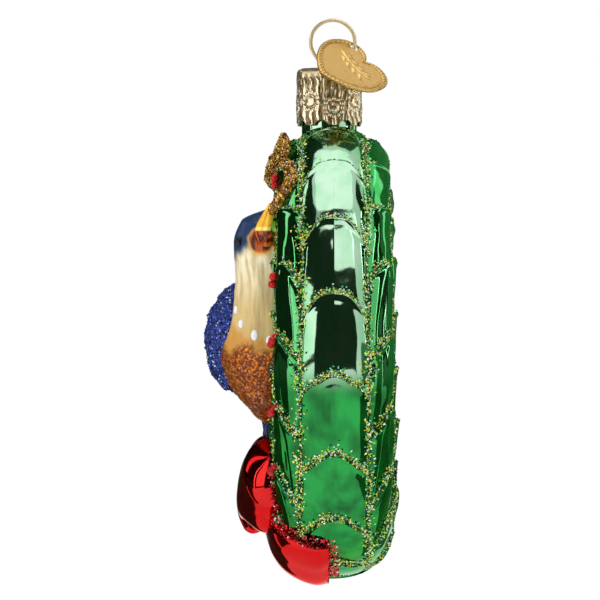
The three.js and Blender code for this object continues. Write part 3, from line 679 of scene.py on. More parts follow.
def lay_flakes(name, slot, places, palette, rng, share=1.0, tilt=0.9):
    """One piece of many flakes of glitter. The palette is a list of colours, each with its part of them."""
    radius = bpy.context.scene.ornament_glitter.flake / MM * share
    shape = bmesh.new()
    bmesh.ops.create_cone(shape, cap_ends=True, segments=4, radius1=1, radius2=0, depth=0.4)
    flake = mesh_of("flake", shape)
    flake.attributes.new("tint", "FLOAT_COLOR", "POINT")
    rest = [vert.co.copy() for vert in flake.vertices]
    tints, parts = zip(*palette)
    bm = bmesh.new()
    for spot, normal in places:
        size = radius * rng.uniform(0.65, 1.3)
        lean = normal + tilt * Vector([rng.uniform(-1, 1) for _ in range(3)])
        turn = lean.to_track_quat("Z", "Y").to_matrix() @ Matrix.Rotation(rng.uniform(0, math.tau), 3, "Z")
        middle = spot + normal * size * 0.25
        corners = [middle + size * (turn @ corner) for corner in rest]
        flake.vertices.foreach_set("co", [value for corner in corners for value in corner])
        tint = flake.attributes["tint"]
        tint.data.foreach_set("color", [*rng.choices(tints, parts)[0], 1.0] * len(rest))
        bm.from_mesh(flake)
    bpy.data.meshes.remove(flake)
    finish_piece(name, bm, "glitter_flakes", "glass", slot, facets=True)


# The wreath's leaf relief, by the same formula as the part's source


def swell(up):
    """How much deeper the ring is at a height over its middle than at the neck."""
    return 1 + FOOT_SWELL * (1 - up / RIM_RADIUS) / 2


def section_point(share):
    """Half of the ring's section, from the middle of the rim over the crest to the dish's middle."""
    crest = 0.4
    if share < crest:
        angle, power = share / crest * math.pi / 2, 2 / SQUARENESS
        return (
            CREST_RADIUS + (RIM_RADIUS - CREST_RADIUS) * max(math.cos(angle), 0) ** power,
            HALF_DEPTH * math.sin(angle) ** power,
        )
    radius = CREST_RADIUS * (1 - share) / (1 - crest)
    rise = smooth((radius - DISH_RADIUS) / (CREST_RADIUS - DISH_RADIUS))
    return radius, HALF_DISH + (HALF_DEPTH - HALF_DISH) * rise


class Section:
    """The ring's section by distance over it."""

    def __init__(self, divisions=1200):
        self.points = [section_point(i / divisions) for i in range(divisions + 1)]
        self.lengths = [0.0]
        for (r0, f0), (r1, f1) in zip(self.points, self.points[1:]):
            self.lengths.append(self.lengths[-1] + math.hypot(r1 - r0, f1 - f0))
        self.length = self.lengths[-1]
        self.known = {}

    def at(self, distance):
        """Radius, forward place and direction at a distance over the section."""
        if distance not in self.known:
            reach = clamp(distance, 0, self.length - 1e-6)
            i = clamp(bisect.bisect(self.lengths, reach) - 1, 2, len(self.points) - 4)
            part = (reach - self.lengths[i]) / (self.lengths[i + 1] - self.lengths[i])
            (r0, f0), (r1, f1) = self.points[i], self.points[i + 1]
            (ra, fa), (rb, fb) = self.points[i - 2], self.points[i + 3]
            long = math.hypot(rb - ra, fb - fa)
            self.known[distance] = (
                r0 + (r1 - r0) * part,
                f0 + (f1 - f0) * part,
                (rb - ra) / long,
                (fb - fa) / long,
            )
        return self.known[distance]


SECTION = Section()


def row_at(distance):
    """Which row of leaves a distance is in, and how far across the leaf it is, from -1 to 1."""
    row = bisect.bisect_left(ROW_EDGES, distance - 1e-6)
    if row == 0:
        return 0, distance / ROW_EDGES[0]
    if row == len(ROW_EDGES):
        return -1, 1.0
    low, high = ROW_EDGES[row - 1], ROW_EDGES[row]
    return row, (2 * distance - low - high) / (high - low)


def past_tip(row, climb):
    """How far a place is past the last tip of its row, in leaf pitches."""
    place = climb - TIP_PLACE - (row % 2) / 2
    return place - math.floor(place + 1e-6)


DROP = 0.05  # of a pitch, over which a tip falls to the next leaf


def leaf_height(row, across, climb, settings):
    """Each leaf climbs to its rounded tip and drops to the base of the next."""
    if row < 0:
        return 0.0
    height, lip = settings.leaf_raise / MM, settings.lip / MM
    past = past_tip(row, climb)
    away = math.sqrt(across**2 + 0.004) - 0.06
    keel = 1 - 0.35 * away - 0.65 * abs(across) ** 5
    climbed = 0.25 + 0.75 * past
    fallen = 1 - smooth(past / DROP)
    bead = bump_at(past, 1.0, 0.03) + bump_at(past, 0.0, 0.03)
    hollow = bump_at(past, 0.93, 0.035)
    return keel * (height * max(climbed, fallen) + lip * (bead - 0.4 * hollow))


def leaf_ends(row, climb, leaves):
    """How much of the leaf relief is left near the foot's middle and near the neck."""
    return smooth(2 * climb), smooth((2 if row == 0 else 4) * (leaves - climb))


def wreath_place(settings, side, face, climb, distance, lift=0.0):
    """A point of the wreath. Climb counts leaf pitches from the foot."""
    reach = abs(distance)
    row, across = row_at(reach)
    sway = 0.9 * wander(Vector((climb * 1.3, reach * 0.12, 4)), 1.0, 2)
    fade = 1.0
    if row < 0:
        fade = (SECTION.length - reach) / (SECTION.length - ROW_EDGES[-1])
    inside = smooth(4 * reach / SECTION.length) * fade**3
    radius, forward, way_r, way_f = SECTION.at(round(reach + sway * inside, 3))
    leaves = settings.leaves
    foot, top = leaf_ends(row, climb, leaves)
    ends = foot * top
    rim = min(1.0, reach / ROW_EDGES[0]) ** 2 * (1 - smooth((reach - ROW_EDGES[0]) / 6))
    rim *= 1 + 2.1 * smooth((leaves * 0.6 - climb) / 4)
    arch = (settings.leaf_arch * across**2 * fade + settings.rim_arch * rim) / MM * ends / RIM_RADIUS
    wave = 0.03 * wander(Vector((climb * 0.9, reach * 0.25, 9)), 1.0, 3) * smooth(reach / 3) * ends
    angle = (climb / leaves - 0.5) * math.pi - arch + wave
    height = leaf_height(row, across, climb, settings) * ends + lift
    height += 0.34 * wander(Vector((reach * 0.45, climb * 1.5, 6)), 1.0) * smooth((reach - 4.5) / 4) * fade**3
    if row >= 0:
        height += settings.leaf_raise / MM * FOOT_RAISE * (1 - foot)
    r = radius + way_f * height
    return Vector(
        (
            side * r * math.cos(angle),
            face * (forward * swell(radius * math.sin(angle)) - way_r * height),
            WREATH_MIDDLE + r * math.sin(angle),
        )
    )


def climb_lines(leaves):
    """Lines up one side, close together where leaves of the odd and even rows drop."""
    near = (-0.09, -0.06, -0.04, -0.025, -0.012, 0, 0.01, 0.02, 0.03, 0.04, 0.055, 0.08)
    between = (0.13, 0.18, 0.23, 0.28, 0.33, 0.38)
    lines = {0.0, float(leaves)}
    for half_leaf in range(-1, 2 * leaves):
        tip = TIP_PLACE + half_leaf / 2
        lines.update(round(tip + step, 4) for step in near + between)
    return sorted(line for line in lines if 0 <= line <= leaves)


def distance_lines():
    """Lines over the section, close together at the seam and in the valleys between rows."""
    rim = (0.12, 0.22, 0.34, 0.46, 0.58, 0.7, 0.8, 0.88, 0.94, 0.975)
    row = (0, 0.02, 0.06, 0.12, 0.2, 0.3, 0.4, 0.46, 0.5, 0.54, 0.6, 0.7, 0.8, 0.88, 0.94, 0.98)
    dish = (0, 0.06, 0.15, 0.3, 0.45, 0.6, 0.75, 0.9, 1)
    edges = (0, *ROW_EDGES, SECTION.length)
    lines = [0, 0.09, 0.18, 0.35]
    for low, high, shares in zip(edges, edges[1:], (rim, row, row, row, dish)):
        lines += [low + (high - low) * share for share in shares]
    return lines


def groove_at(row, across, climb, ends):
    """1 in the valleys and under the tips, where glue and glitter gather and painted shade darkens the green,
    and 0 on the leaves.
    """
    if row < 0:
        return 0.0
    past = past_tip(row, climb)
    band = smooth(past / 0.012) * (1 - smooth((past - 0.055) / 0.02))
    return max(band, smooth((abs(across) - 0.93) / 0.05)) * ends


def wreath_form(settings):
    """The whole leaf relief, mirrored from one quarter, and the neck."""
    climbs, distances = climb_lines(settings.leaves), distance_lines()
    columns, rows = len(climbs) - 1, len(distances) - 1
    bm = bmesh.new()
    groove = bm.verts.layers.float.new("groove")
    film_and_highlight = bm.verts.layers.float.new("film_and_highlight")
    bmesh.ops.create_grid(bm, x_segments=columns, y_segments=rows, size=0.5)
    for vert in bm.verts:
        climb = climbs[round((vert.co.x + 0.5) * columns)]
        distance = distances[round((vert.co.y + 0.5) * rows)]
        row, across = row_at(distance)
        ends = math.prod(leaf_ends(row, climb, settings.leaves))
        seam = 0.02 * bump_at(distance, 0, 0.14) if climb > 0.3 else 0
        vert.co = wreath_place(settings, 1, 1, climb, distance, seam)
        vert[groove] = groove_at(row, across, climb, ends)
        # Where this value is low, in the middle of the rim's leaves, the pale painted highlight shows most
        vert[film_and_highlight] = 0.08 + 0.5 * across * across if row == 0 else 0.75 + 0.5 * across * across
    for axis in ("Y", "X"):
        bmesh.ops.mirror(bm, geom=bm.verts[:] + bm.edges[:] + bm.faces[:], axis=axis, merge_dist=1e-3)
    seal(bm, reach=2e-3)
    waviness = settings.waviness / MM
    rumple(bm, waviness, 9, seed=3)
    rumple(bm, waviness * 0.25, 3, seed=5)
    opened = {
        vert
        for vert in bm.verts
        if vert.co.z > WREATH_MIDDLE and math.hypot(vert.co.x, vert.co.y + NECK_FORWARD) < NECK_RADIUS - 0.05
    }
    under_neck = [face for face in bm.faces if opened.issuperset(face.verts)]
    bmesh.ops.delete(bm, geom=under_neck, context="FACES")
    return bm


def neck_form():
    """The open neck under the cap, turned from its profile."""
    foot, top, lip = WREATH_MIDDLE + RIM_RADIUS - 3, CAP_TOP - 0.7, 0.5
    profile = [(NECK_RADIUS, foot), (NECK_RADIUS, top - lip)]
    for step in range(1, 6):
        angle = math.pi * step / 6
        profile.append((NECK_RADIUS - lip * (1 - math.cos(angle)), top - lip + lip * math.sin(angle)))
    profile += [(NECK_BORE, top - lip), (NECK_BORE, foot - 3)]
    bm = bmesh.new()
    turned_edge(bm, [bm.verts.new((r, 0, z)) for r, z in profile], (0, 0, 0), math.tau, 64)
    seal(bm)
    bmesh.ops.translate(bm, verts=bm.verts, vec=FORWARD * NECK_FORWARD)
    return bm


def front_at(x, z):
    """How far forward the ring's leaves stand at a point of the front."""
    radius = math.hypot(x, z - WREATH_MIDDLE)
    out = clamp((radius - CREST_RADIUS) / (RIM_RADIUS - CREST_RADIUS), 0, 0.995)
    return swell(z - WREATH_MIDDLE) * HALF_DEPTH * (1 - out**SQUARENESS) ** (1 / SQUARENESS)


def on_front(x, up, stand, across, deep):
    """A station on the front of the ring, its middle ahead of the valleys by the stand."""
    z = WREATH_MIDDLE + up
    return (x, -front_at(x, z) - stand, z), across, deep


def bird_station(x, up, across, deep, forward=0.0):
    """A station on the bird. Its place across and up is a share of the bird's height."""
    return (x * BIRD_HEIGHT, BIRD_PLANE - forward, WREATH_MIDDLE + up * BIRD_HEIGHT), across, deep


def to_front(_):
    return FORWARD


def away_from_ring(place):
    return Vector((place.x, 2 * place.y, place.z - WREATH_MIDDLE))


# Glitter: colours, each with its part of the flakes. In each list the palest colour is a painted glint and
# the darkest one painted shade; the others are the glitter's own colours.

# Painted glint in the near-white flakes, painted shade in the near-black green ones
LEAF_GLITTER = [
    ((1.0, 0.76, 0.08), 3.2),
    ((0.6, 0.9, 0.14), 3.4),
    ((0.1, 0.55, 0.14), 3.5),
    ((0.004, 0.08, 0.025), 6),
    ((0.95, 1.0, 0.85), 3),
    ((0.2, 0.7, 0.75), 0.5),
    ((1.0, 0.4, 0.15), 0.1),
]
# Painted glint in the pale blue flakes, painted shade in the near-black blue ones
WING_GLITTER = [
    ((0.012, 0.025, 0.22), 5),
    ((0.06, 0.12, 0.65), 4),
    ((0.65, 0.78, 1.0), 2.2),
    ((0.003, 0.006, 0.05), 6),
]
# Painted glint in the pale orange flakes, painted shade in the near-black brown ones
BELLY_GLITTER = [
    ((0.4, 0.08, 0.004), 4),
    ((0.8, 0.22, 0.01), 3),
    ((1.0, 0.6, 0.2), 1.2),
    ((0.08, 0.012, 0.001), 6),
]
# Painted glint in the pink flakes, painted shade in the darkest red ones
RED_GLITTER = [
    ((0.6, 0.01, 0.02), 5),
    ((0.9, 0.04, 0.04), 4),
    ((0.3, 0.0, 0.01), 3),
    ((1.0, 0.6, 0.6), 0.8),
]
# Painted glint in the pale gold flakes, painted shade in the near-black brown ones
GOLD_GLITTER = [
    ((0.7, 0.27, 0.012), 4),
    ((1.0, 0.6, 0.07), 4),
    ((0.05, 0.018, 0.002), 9),
    ((1.0, 0.9, 0.55), 2),
]


# Operators


class ORNAMENT_OT_materials(Operator):
    """Make the lacquers, paints, glitters and metals"""

    bl_idname = "ornament.materials"
    bl_label = "Finishes"

    def execute(self, context):
        scene = context.scene
        bird, bows, metals = scene.ornament_bird, scene.ornament_bows, scene.ornament_metals
        ripple_group()
        glitter_group()
        green_lacquer(scene.ornament_wreath)
        red_lacquer(bows)
        bird_paint(bird)
        flake_finish()
        glitter_coat("gold_glitter_coat", bows.gold, (1.0, 0.62, 0.15), 2000.0)
        glitter_coat("blue_glitter_coat", bird.wing, (0.12, 0.2, 0.7), 2400.0)
        beak_gloss(bird)
        gloss_paint("berry_gloss", bows.berry, (0.3, 0.001, 0.004), coat=0.12)
        eye_black, eye_brown = (0.004, 0.004, 0.006), (0.008, 0.007, 0.006)
        gloss_paint("eye_paint", eye_black, eye_brown, coat=0.2, roughness=0.2, depth=0.01)
        gloss_paint("white_paint", (0.85, 0.85, 0.86), (0.8, 0.8, 0.82), roughness=0.2)
        # Second colour: darker metal with painted shade in the low places of the cap and the tag
        plated("cap_plating", metals.cap, (0.32, 0.21, 0.085), (0.2, 0.34), 0.06, metallic=0.9)
        plated("wire_plating", metals.wire, (0.55, 0.4, 0.18), (0.18, 0.3), 0.03, metallic=0.6)
        plated("tag_plating", metals.tag, (0.5, 0.26, 0.05), (0.3, 0.42), 0.25)
        return {"FINISHED"}


class ORNAMENT_OT_wreath(Operator):
    """Build the leaf wreath with its neck"""

    bl_idname = "ornament.wreath"
    bl_label = "Wreath"

    def execute(self, context):
        form = joined([wreath_form(context.scene.ornament_wreath), neck_form()])
        finish_piece("leaf_wreath", form, "green_lacquer", "glass", "green_glass", ["wreath_glass"])
        return {"FINISHED"}


class ORNAMENT_OT_leaf_glitter(Operator):
    """Lay glitter over the leaf tips and down the valleys between the rows"""

    bl_idname = "ornament.leaf_glitter"
    bl_label = "Leaf glitter"

    def execute(self, context):
        settings, glitter = context.scene.ornament_wreath, context.scene.ornament_glitter
        rng = random.Random(glitter.seed)
        surface = surface_of("leaf_wreath")
        for face, title in ((-1, "front"), (1, "back")):
            places = []
            for side in (1, -1):
                for climb, distance in self.spots(settings, glitter.density, rng):
                    spot = wreath_place(settings, side, face, climb, distance)
                    places.append(surface.find_nearest(spot)[:2])
            lay_flakes(f"leaf_glitter_{title}", "green_glass", places, LEAF_GLITTER, rng)
        return {"FINISHED"}

    def spots(self, settings, density, rng):
        """Places for flakes on one side of one face: over each tip, and down each valley."""
        edges = (0.0, *ROW_EDGES)
        for row, (low, high) in enumerate(zip(edges, edges[1:])):
            thin = (1, 0.8, 0.6, 0.45)[row]
            pitch = math.pi * SECTION.at((low + high) / 2)[0] / settings.leaves
            for leaf in range(settings.leaves):
                tip = leaf + TIP_PLACE + (row % 2) / 2
                sparse = 1 - 0.2 * smooth((tip - settings.leaves + 3) / 2)
                for _ in range(int((high - low) * density * thin * sparse * 1.3)):
                    distance = rng.uniform(low, high)
                    wide = 0.7 + 0.4 * abs(row_at(distance)[1]) ** 3
                    climb = tip + (0.1 + abs(rng.gauss(0, wide))) / pitch
                    if 0.3 < climb < settings.leaves - 0.25:
                        yield climb, distance
            for _ in range(int(settings.leaves * pitch * density * thin * 0.75)):
                climb = rng.uniform(0.35, settings.leaves - 0.25)
                gathered = wander(Vector((climb * 2.6, row * 7, 0)), 1.0)
                if rng.random() < 0.7 + 1.2 * gathered:
                    yield climb, high + rng.gauss(0, 0.45 + 0.6 * max(gathered, 0))


class ORNAMENT_OT_bird(Operator):
    """Build the bird's body, wing, tail, beak, eye and paint dots"""

    bl_idname = "ornament.bird"
    bl_label = "Bird"

    BROW = -45.2
    CHEST_TOP = -43
    AMBER_TOP = -59.0
    BELLY_TOP = -62.6
    CHEEK = Vector((12.6, -13.6, -42.7))

    def execute(self, context):
        rng = random.Random(context.scene.ornament_glitter.seed + 1)
        blue = ("blue_glitter_coat", "glass", "blue_glitter")
        finish_piece("bird_form", self.body(), "satin_bird_paint", "glass", "bird_paint", ["bird_body"])
        finish_piece("bird_wing_form", self.wing(), *blue, ["bird_wing"], facets=True)
        finish_piece("bird_tail_form", self.tail(), *blue, ["bird_tail"])
        finish_piece("bird_beak_form", self.beak(), "beak_gloss", "glass", "beak_gold", ["bird_beak"])
        finish_piece("bird_eye_form", self.eye(), "eye_paint", "glass", "eye_black", ["bird_eye"])
        finish_piece("paint_dots", self.dots(), "white_paint", "glass", "bird_paint")
        places = places_on("bird_wing_form", 5200, rng)
        lay_flakes("wing_glitter", "blue_glitter", places, WING_GLITTER, rng, share=0.85)
        places = places_on("bird_form", 16000, rng, lambda co, _: rng.random() < self.belly_at(co) * 0.6)
        lay_flakes("belly_glitter", "bird_paint", places, BELLY_GLITTER, rng, share=0.75, tilt=0.7)
        return {"FINISHED"}

    def belly_at(self, co):
        """How far a place is in the rust belly."""
        edge = self.BELLY_TOP + 2.4 * wander(co, 3.2, 4)
        return smooth((edge - co.z) / 2.2)

    def body(self):
        stations = [
            bird_station(-0.265, -0.3, BELLY * 0.12, BELLY * 0.12),
            bird_station(-0.169, -0.25, BELLY * 0.46, BELLY * 0.36),
            bird_station(-0.072, -0.13, BELLY * 0.93, BELLY * 0.76),
            bird_station(0.043, 0.01, BELLY * 1.06, BELLY * 0.96),
            bird_station(0.111, 0.19, (BELLY + NECK) / 2, NECK * 1.16),
            bird_station(0.14, 0.36, NECK * 1.08, NECK),
            bird_station(0.164, 0.5, HEAD, HEAD * 0.98),
            bird_station(0.183, 0.61, HEAD * 0.72, HEAD * 0.76),
            bird_station(0.193, 0.66, HEAD * 0.1, HEAD * 0.1),
        ]
        bm = lofted(stations, to_front, sides=160, steps=150)
        bm.normal_update()
        for vert in bm.verts:
            co = vert.co.copy()
            tuft = wander(Vector((co.x, co.y, co.z * 0.22)), 1.9, 2)
            chest = smooth((self.CHEST_TOP - co.z) / 3) * (1 - self.belly_at(co))
            vert.co += vert.normal * (0.34 * tuft * chest + 0.3 * wander(co, 1.6, 7) * self.belly_at(co))
        self.paint(bm)
        return bm

    def paint(self, bm):
        """Masks of the painted areas."""
        crown, face, fringe, amber, belly = (
            bm.verts.layers.float.new(name) for name in ("crown", "face", "fringe", "amber", "belly")
        )
        for vert in bm.verts:
            co = vert.co
            stray = wander(co, 1.3, 9)
            from_cheek = (co - self.CHEEK).length + 0.4 * stray
            vert[face] = 1 - smooth((from_cheek - 2.4) / 0.5)
            vert[fringe] = 1 - smooth((from_cheek - 2.7) / 0.8)
            brow = self.BROW + 0.6 * stray + 4.2 * smooth((co.y + 15.3) / 1.4) * smooth((co.x - 3) / 4)
            brow += 0.75 * min(0.0, co.y + 16.2) * smooth((co.x - 1) / 4)
            nape = smooth((-1.5 - co.x + 2 * stray) / 2.5) * smooth((co.z + 66) / 4)
            vert[crown] = max(smooth((co.z - brow) / 2.6), nape) * smooth((from_cheek - 2.6) / 0.5)
            vert[amber] = smooth((self.AMBER_TOP + 3 * wander(co, 2.4, 12) - co.z) / 2.4)
            vert[belly] = self.belly_at(co)

    def wing(self):
        def station(x, up, width, bulge, forward):
            return bird_station(x, up, WING_WIDTH / 2 * width, WING_BULGE * bulge, WING_BULGE * forward)

        stations = [
            station(0.154, 0.285, 0.11, 0.13, 0.7),
            station(0.096, 0.235, 0.66, 0.7, 0.87),
            station(0, 0.09, 1, 1, 1.07),
            station(-0.12, -0.05, 0.91, 0.94, 1),
            station(-0.253, -0.165, 0.51, 0.42, 0.6),
            station(-0.373, -0.265, 0.1, 0.1, 0.3),
        ]

        def feathers(share, angle):
            row = share * 8 + 0.35 * math.cos(4 * angle)
            scale = row - math.floor(row)
            return 0.55 * (scale - 0.5) * smooth(4 * share) * smooth(4 * (1 - share))

        bm = lofted(stations, to_front, sides=110, steps=110, relief=feathers)
        rumple(bm, 0.12, 1.1, seed=21, fine=0.07)
        return bm

    def tail(self):
        def station(along, up, width, deep):
            x = -0.193 - along * TAIL_LENGTH / BIRD_HEIGHT
            return bird_station(x, up, TAIL_WIDTH * width, TAIL_WIDTH * deep)

        stations = [
            station(0, -0.24, 0.37, 0.25),
            station(0.21, -0.3, 0.45, 0.21),
            station(0.81, -0.375, 0.5, 0.17),
            station(1.21, -0.42, 0.4, 0.1),
        ]
        bm = lofted(stations, to_front, sides=80, steps=70, relief=fluted(0.14, 9))
        rumple(bm, 0.08, 1.6, seed=23)
        return bm

    def beak(self):
        def station(along, up, width, forward):
            x, across = 0.265 + along * BEAK_LENGTH / BIRD_HEIGHT, BEAK_WIDTH / 2 * width
            return bird_station(x, up, across, across, BEAK_WIDTH * forward)

        stations = [
            station(0, 0.5, 1, 0.09),
            station(0.35, 0.555, 1.02, 0.09),
            station(0.7, 0.625, 0.58, 0.02),
            station(0.9, 0.68, 0.18, -0.07),
        ]

        def mouth(share, angle):
            return -0.35 * bump_at(angle, 0.5, 0.22) * smooth(2 * share)

        return lofted(stations, to_front, sides=64, steps=48, relief=mouth)

    def eye(self):
        gaze = math.radians(33)
        reach = HEAD - 0.15 * EYE_RADIUS
        place = Vector(bird_station(0.164, 0.53, 0, 0, reach * math.cos(gaze))[0])
        bm = ball(40, 24, EYE_RADIUS)
        bmesh.ops.scale(bm, vec=(0.75, 0.7, 1.05), verts=bm.verts)
        bmesh.ops.translate(bm, verts=bm.verts, vec=place + Vector((reach * math.sin(gaze), 0, -0.9)))
        return bm

    def dots(self):
        """Raised drops of white paint in a curve over the breast, laid on the body's surface."""
        surface = surface_of("bird_form")
        drops = []
        for y, z, radius in (
            (-18.8, -56.1, 0.72),
            (-17.8, -58.8, 0.74),
            (-15.15, -61.0, 0.95),
            (-12.3, -62.0, 0.85),
            (-20.4, -58.6, 0.5),
        ):
            place, normal, _, _ = surface.ray_cast(Vector((60, y, z)), Vector((-1, 0, 0)))
            if place is None:
                continue
            bm = ball(28, 16, radius)
            bmesh.ops.scale(bm, vec=(0.8, 1.1, 0.35), verts=bm.verts)
            turn = normal.to_track_quat("Z", "Y").to_matrix().to_4x4()
            bmesh.ops.transform(bm, matrix=Matrix.Translation(place) @ turn, verts=bm.verts)
            drops.append(bm)
        return joined(drops)


def bow_forms(bow):
    """A bow's knot, loops and tails, each with its title."""
    yield "knot", bow.knot()
    for hand, side in (("right", 1), ("left", -1)):
        yield f"{hand}_loop", bow.loop(side)
        yield f"{hand}_tail", bow.tail(side)


class ORNAMENT_OT_red_bow(Operator):
    """Build the red bow with its knot, loops and tails, and the glitter along its edges"""

    bl_idname = "ornament.red_bow"
    bl_label = "Red bow"

    def execute(self, context):
        rng = random.Random(context.scene.ornament_glitter.seed + 2)
        wreath = surface_of("leaf_wreath")

        def near_edge(co, _):
            return rng.random() < bump_at(wreath.find_nearest(co)[3], 0.3, 0.45)

        def on_side(co, normal):
            facing = normal.dot(away_from_ring(co).normalized())
            under, way, _, _ = wreath.find_nearest(co)
            return (co - under).dot(way) > 0 and rng.random() < 1 - smooth((facing - 0.35) / 0.3)

        places = []
        for title, form in bow_forms(self):
            finish_piece(f"red_{title}", form, "red_lacquer", "glass", "red_glass", [f"red_bow_{title}"])
            places += places_on(f"red_{title}", 9000, rng, on_side if "tail" in title else near_edge)
        tails = [surface_of(f"red_{hand}_tail") for hand in ("right", "left")]

        def beside_tail(co, _):
            if co.z > -92 or co.y > 3:
                return False
            return min(tail.find_nearest(co)[3] for tail in tails) < rng.uniform(0.9, 2.4)

        places += places_on("leaf_wreath", 140000, rng, beside_tail)
        lay_flakes("red_glitter", "red_glass", places, RED_GLITTER, rng, share=1.05)
        return {"FINISHED"}

    def knot(self):
        def station(up, stand, share):
            return on_front(
                0, RED_KNOT_UP + RED_KNOT * up, RED_KNOT * stand, RED_KNOT * share, RED_KNOT * share * 0.85
            )

        stations = [
            station(1.05, 0.52, 0.3),
            station(0.74, 0.61, 0.87),
            station(0.1, 0.65, 1),
            station(-0.47, 0.6, 0.84),
            station(-0.7, 0.5, 0.3),
        ]
        bm = lofted(stations, to_front, sides=72, steps=48, relief=fluted(0.25, 7))
        rumple(bm, 0.12, 4, seed=31)
        return bm

    def loop(self, side):
        pleat = bpy.context.scene.ornament_bows.pleat / MM

        def station(share, up, stand, across, out):
            x = RED_KNOT * 0.43 + (RED_LOOP_LENGTH - RED_KNOT * 0.43) * share
            return on_front(
                side * x,
                RED_KNOT_UP + RED_LOOP_HALF * up,
                RED_LOOP_DEEP * stand,
                RED_LOOP_HALF * across,
                RED_LOOP_DEEP * out,
            )

        stations = [
            station(0, 0, 0.34, 0.35, 0.52),
            station(0.2, 0.22, 0.32, 0.64, 0.96),
            station(0.5, 0.58, 0.3, 1, 1),
            station(0.8, 1.02, 0.22, 0.92, 0.84),
            station(1, 1.42, 0.1, 0.12, 0.17),
        ]

        def folds(share, angle):
            return pleat * math.cos(5 * angle + 0.6) * (1 - smooth(share * 1.4)) - 0.2 * pleat

        bm = lofted(stations, to_front, sides=110, steps=90, relief=folds)
        rumple(bm, 0.16, 7, seed=33 + side)
        return bm

    def tail(self, side):
        angle = math.radians(-90 + side * 21)

        def station(share, stand, across, out):
            radius, forward, way_r, way_f = SECTION.at(share * CREST_PLACE * SECTION.length)
            lift = stand * RED_TAIL_DEPTH
            r = radius + way_f * lift
            place = (r * math.cos(angle), -forward + way_r * lift, WREATH_MIDDLE + r * math.sin(angle))
            return place, RED_TAIL_FLARE * across, RED_TAIL_DEPTH * out

        stations = [
            station(1, 0.2, 0.14, 0.5),
            station(0.75, 0.28, 0.3, 0.5),
            station(0.45, 0.3, 0.46, 0.5),
            station(0.17, 0.22, 0.52, 0.36),
            station(0.05, 0.1, 0.5, 0.25),
        ]

        def ridges(share, turn):
            return 0.12 * math.cos(6 * turn) * share

        bm = lofted(stations, away_from_ring, sides=120, steps=80, relief=ridges)
        rumple(bm, 0.16, 6, seed=37 + side)
        return bm


class ORNAMENT_OT_gold_bow(Operator):
    """Build the gold glitter bow over the bird"""

    bl_idname = "ornament.gold_bow"
    bl_label = "Gold bow"

    def execute(self, context):
        rng = random.Random(context.scene.ornament_glitter.seed + 3)
        gold = ("gold_glitter_coat", "glass", "gold_glitter")
        places = []
        for title, form in bow_forms(self):
            rumple(form, 0.08, 0.8, seed=41, fine=0.05)
            finish_piece(f"gold_{title}", form, *gold, [f"gold_bow_{title}"], facets=True)
            places += places_on(f"gold_{title}", 1800, rng)
        lay_flakes("gold_flakes", "gold_glitter", places, GOLD_GLITTER, rng, share=0.95)
        return {"FINISHED"}

    def knot(self):
        def station(up, share):
            return on_front(
                0, GOLD_KNOT_UP + GOLD_KNOT * up, GOLD_KNOT * 0.4, GOLD_KNOT * share, GOLD_KNOT * share * 0.8
            )

        stations = [station(1.2, 0.33), station(0.7, 1), station(-0.95, 1), station(-1.6, 0.33)]
        return lofted(stations, to_front, sides=40, steps=28)

    def loop(self, side):
        def station(share, up, stand, across, out):
            return on_front(
                side * (GOLD_KNOT / 2 + (GOLD_LOOP_LENGTH - GOLD_KNOT / 2) * share),
                GOLD_KNOT_UP + GOLD_LOOP_HALF * up,
                GOLD_LOOP_DEEP * stand,
                GOLD_LOOP_HALF * across,
                GOLD_LOOP_DEEP * out,
            )

        stations = [
            station(0, 0, 0.5, 0.26, 0.8),
            station(0.35, 0.12, 0.5, 0.8, 1),
            station(0.75, 0.28, 0.4, 1, 1),
            station(1, 0.3, 0.4, 0.23, 0.5),
        ]
        return lofted(stations, to_front, sides=72, steps=48)

    def tail(self, side):
        def station(share, up, stand, across, out):
            return on_front(
                side * GOLD_TAIL_REACH * share,
                GOLD_KNOT_UP - 2 * GOLD_LOOP_HALF * up,
                LEAF_RAISE * stand,
                GOLD_TAIL * across,
                GOLD_TAIL * out,
            )

        stations = [
            station(0.08, 0.16, 0.79, 1, 1),
            station(0.39, 0.02, 0.88, 1.1, 1),
            station(0.75, 0, 0.88, 1.1, 1),
            station(1, 0.3, 0.96, 1.45, 1.3),
            station(0.96, 0.72, 0.96, 0.95, 0.9),
            station(0.82, 0.84, 1.14, 0.7, 0.7),
        ]
        return lofted(stations, to_front, sides=24, steps=110)


class ORNAMENT_OT_berries(Operator):
    """Build the red berries, in threes between the leaves"""

    bl_idname = "ornament.berries"
    bl_label = "Berries"

    def execute(self, context):
        settings = context.scene.ornament_wreath
        clusters = [(1, leaf) for leaf in (2, 3, 4, 5, 7)] + [(-1, leaf) for leaf in range(2, 8)]
        distance = ROW_EDGES[1] * BERRY_PLACE
        pitch = math.pi * SECTION.at(distance)[0] / settings.leaves
        for count, (side, leaf) in enumerate(clusters, 1):
            climb = leaf + TIP_PLACE + 0.5
            berries = []
            for along, across in ((0.7, 0), (-0.42, -0.72), (-0.42, 0.72)):
                up, out = climb + BERRY_RADIUS * along / pitch, distance + BERRY_RADIUS * across
                spot = wreath_place(settings, side, -1, up, out, lift=BERRY_RADIUS * 0.55)
                berry = ball(28, 18, BERRY_RADIUS)
                bmesh.ops.translate(berry, verts=berry.verts, vec=spot)
                rumple(berry, 0.05, 0.9, seed=count)
                berries.append(berry)
            name = f"berries_{count:02d}"
            finish_piece(f"{name}_form", joined(berries), "berry_gloss", "glass", "berry_paint", [name])
        return {"FINISHED"}


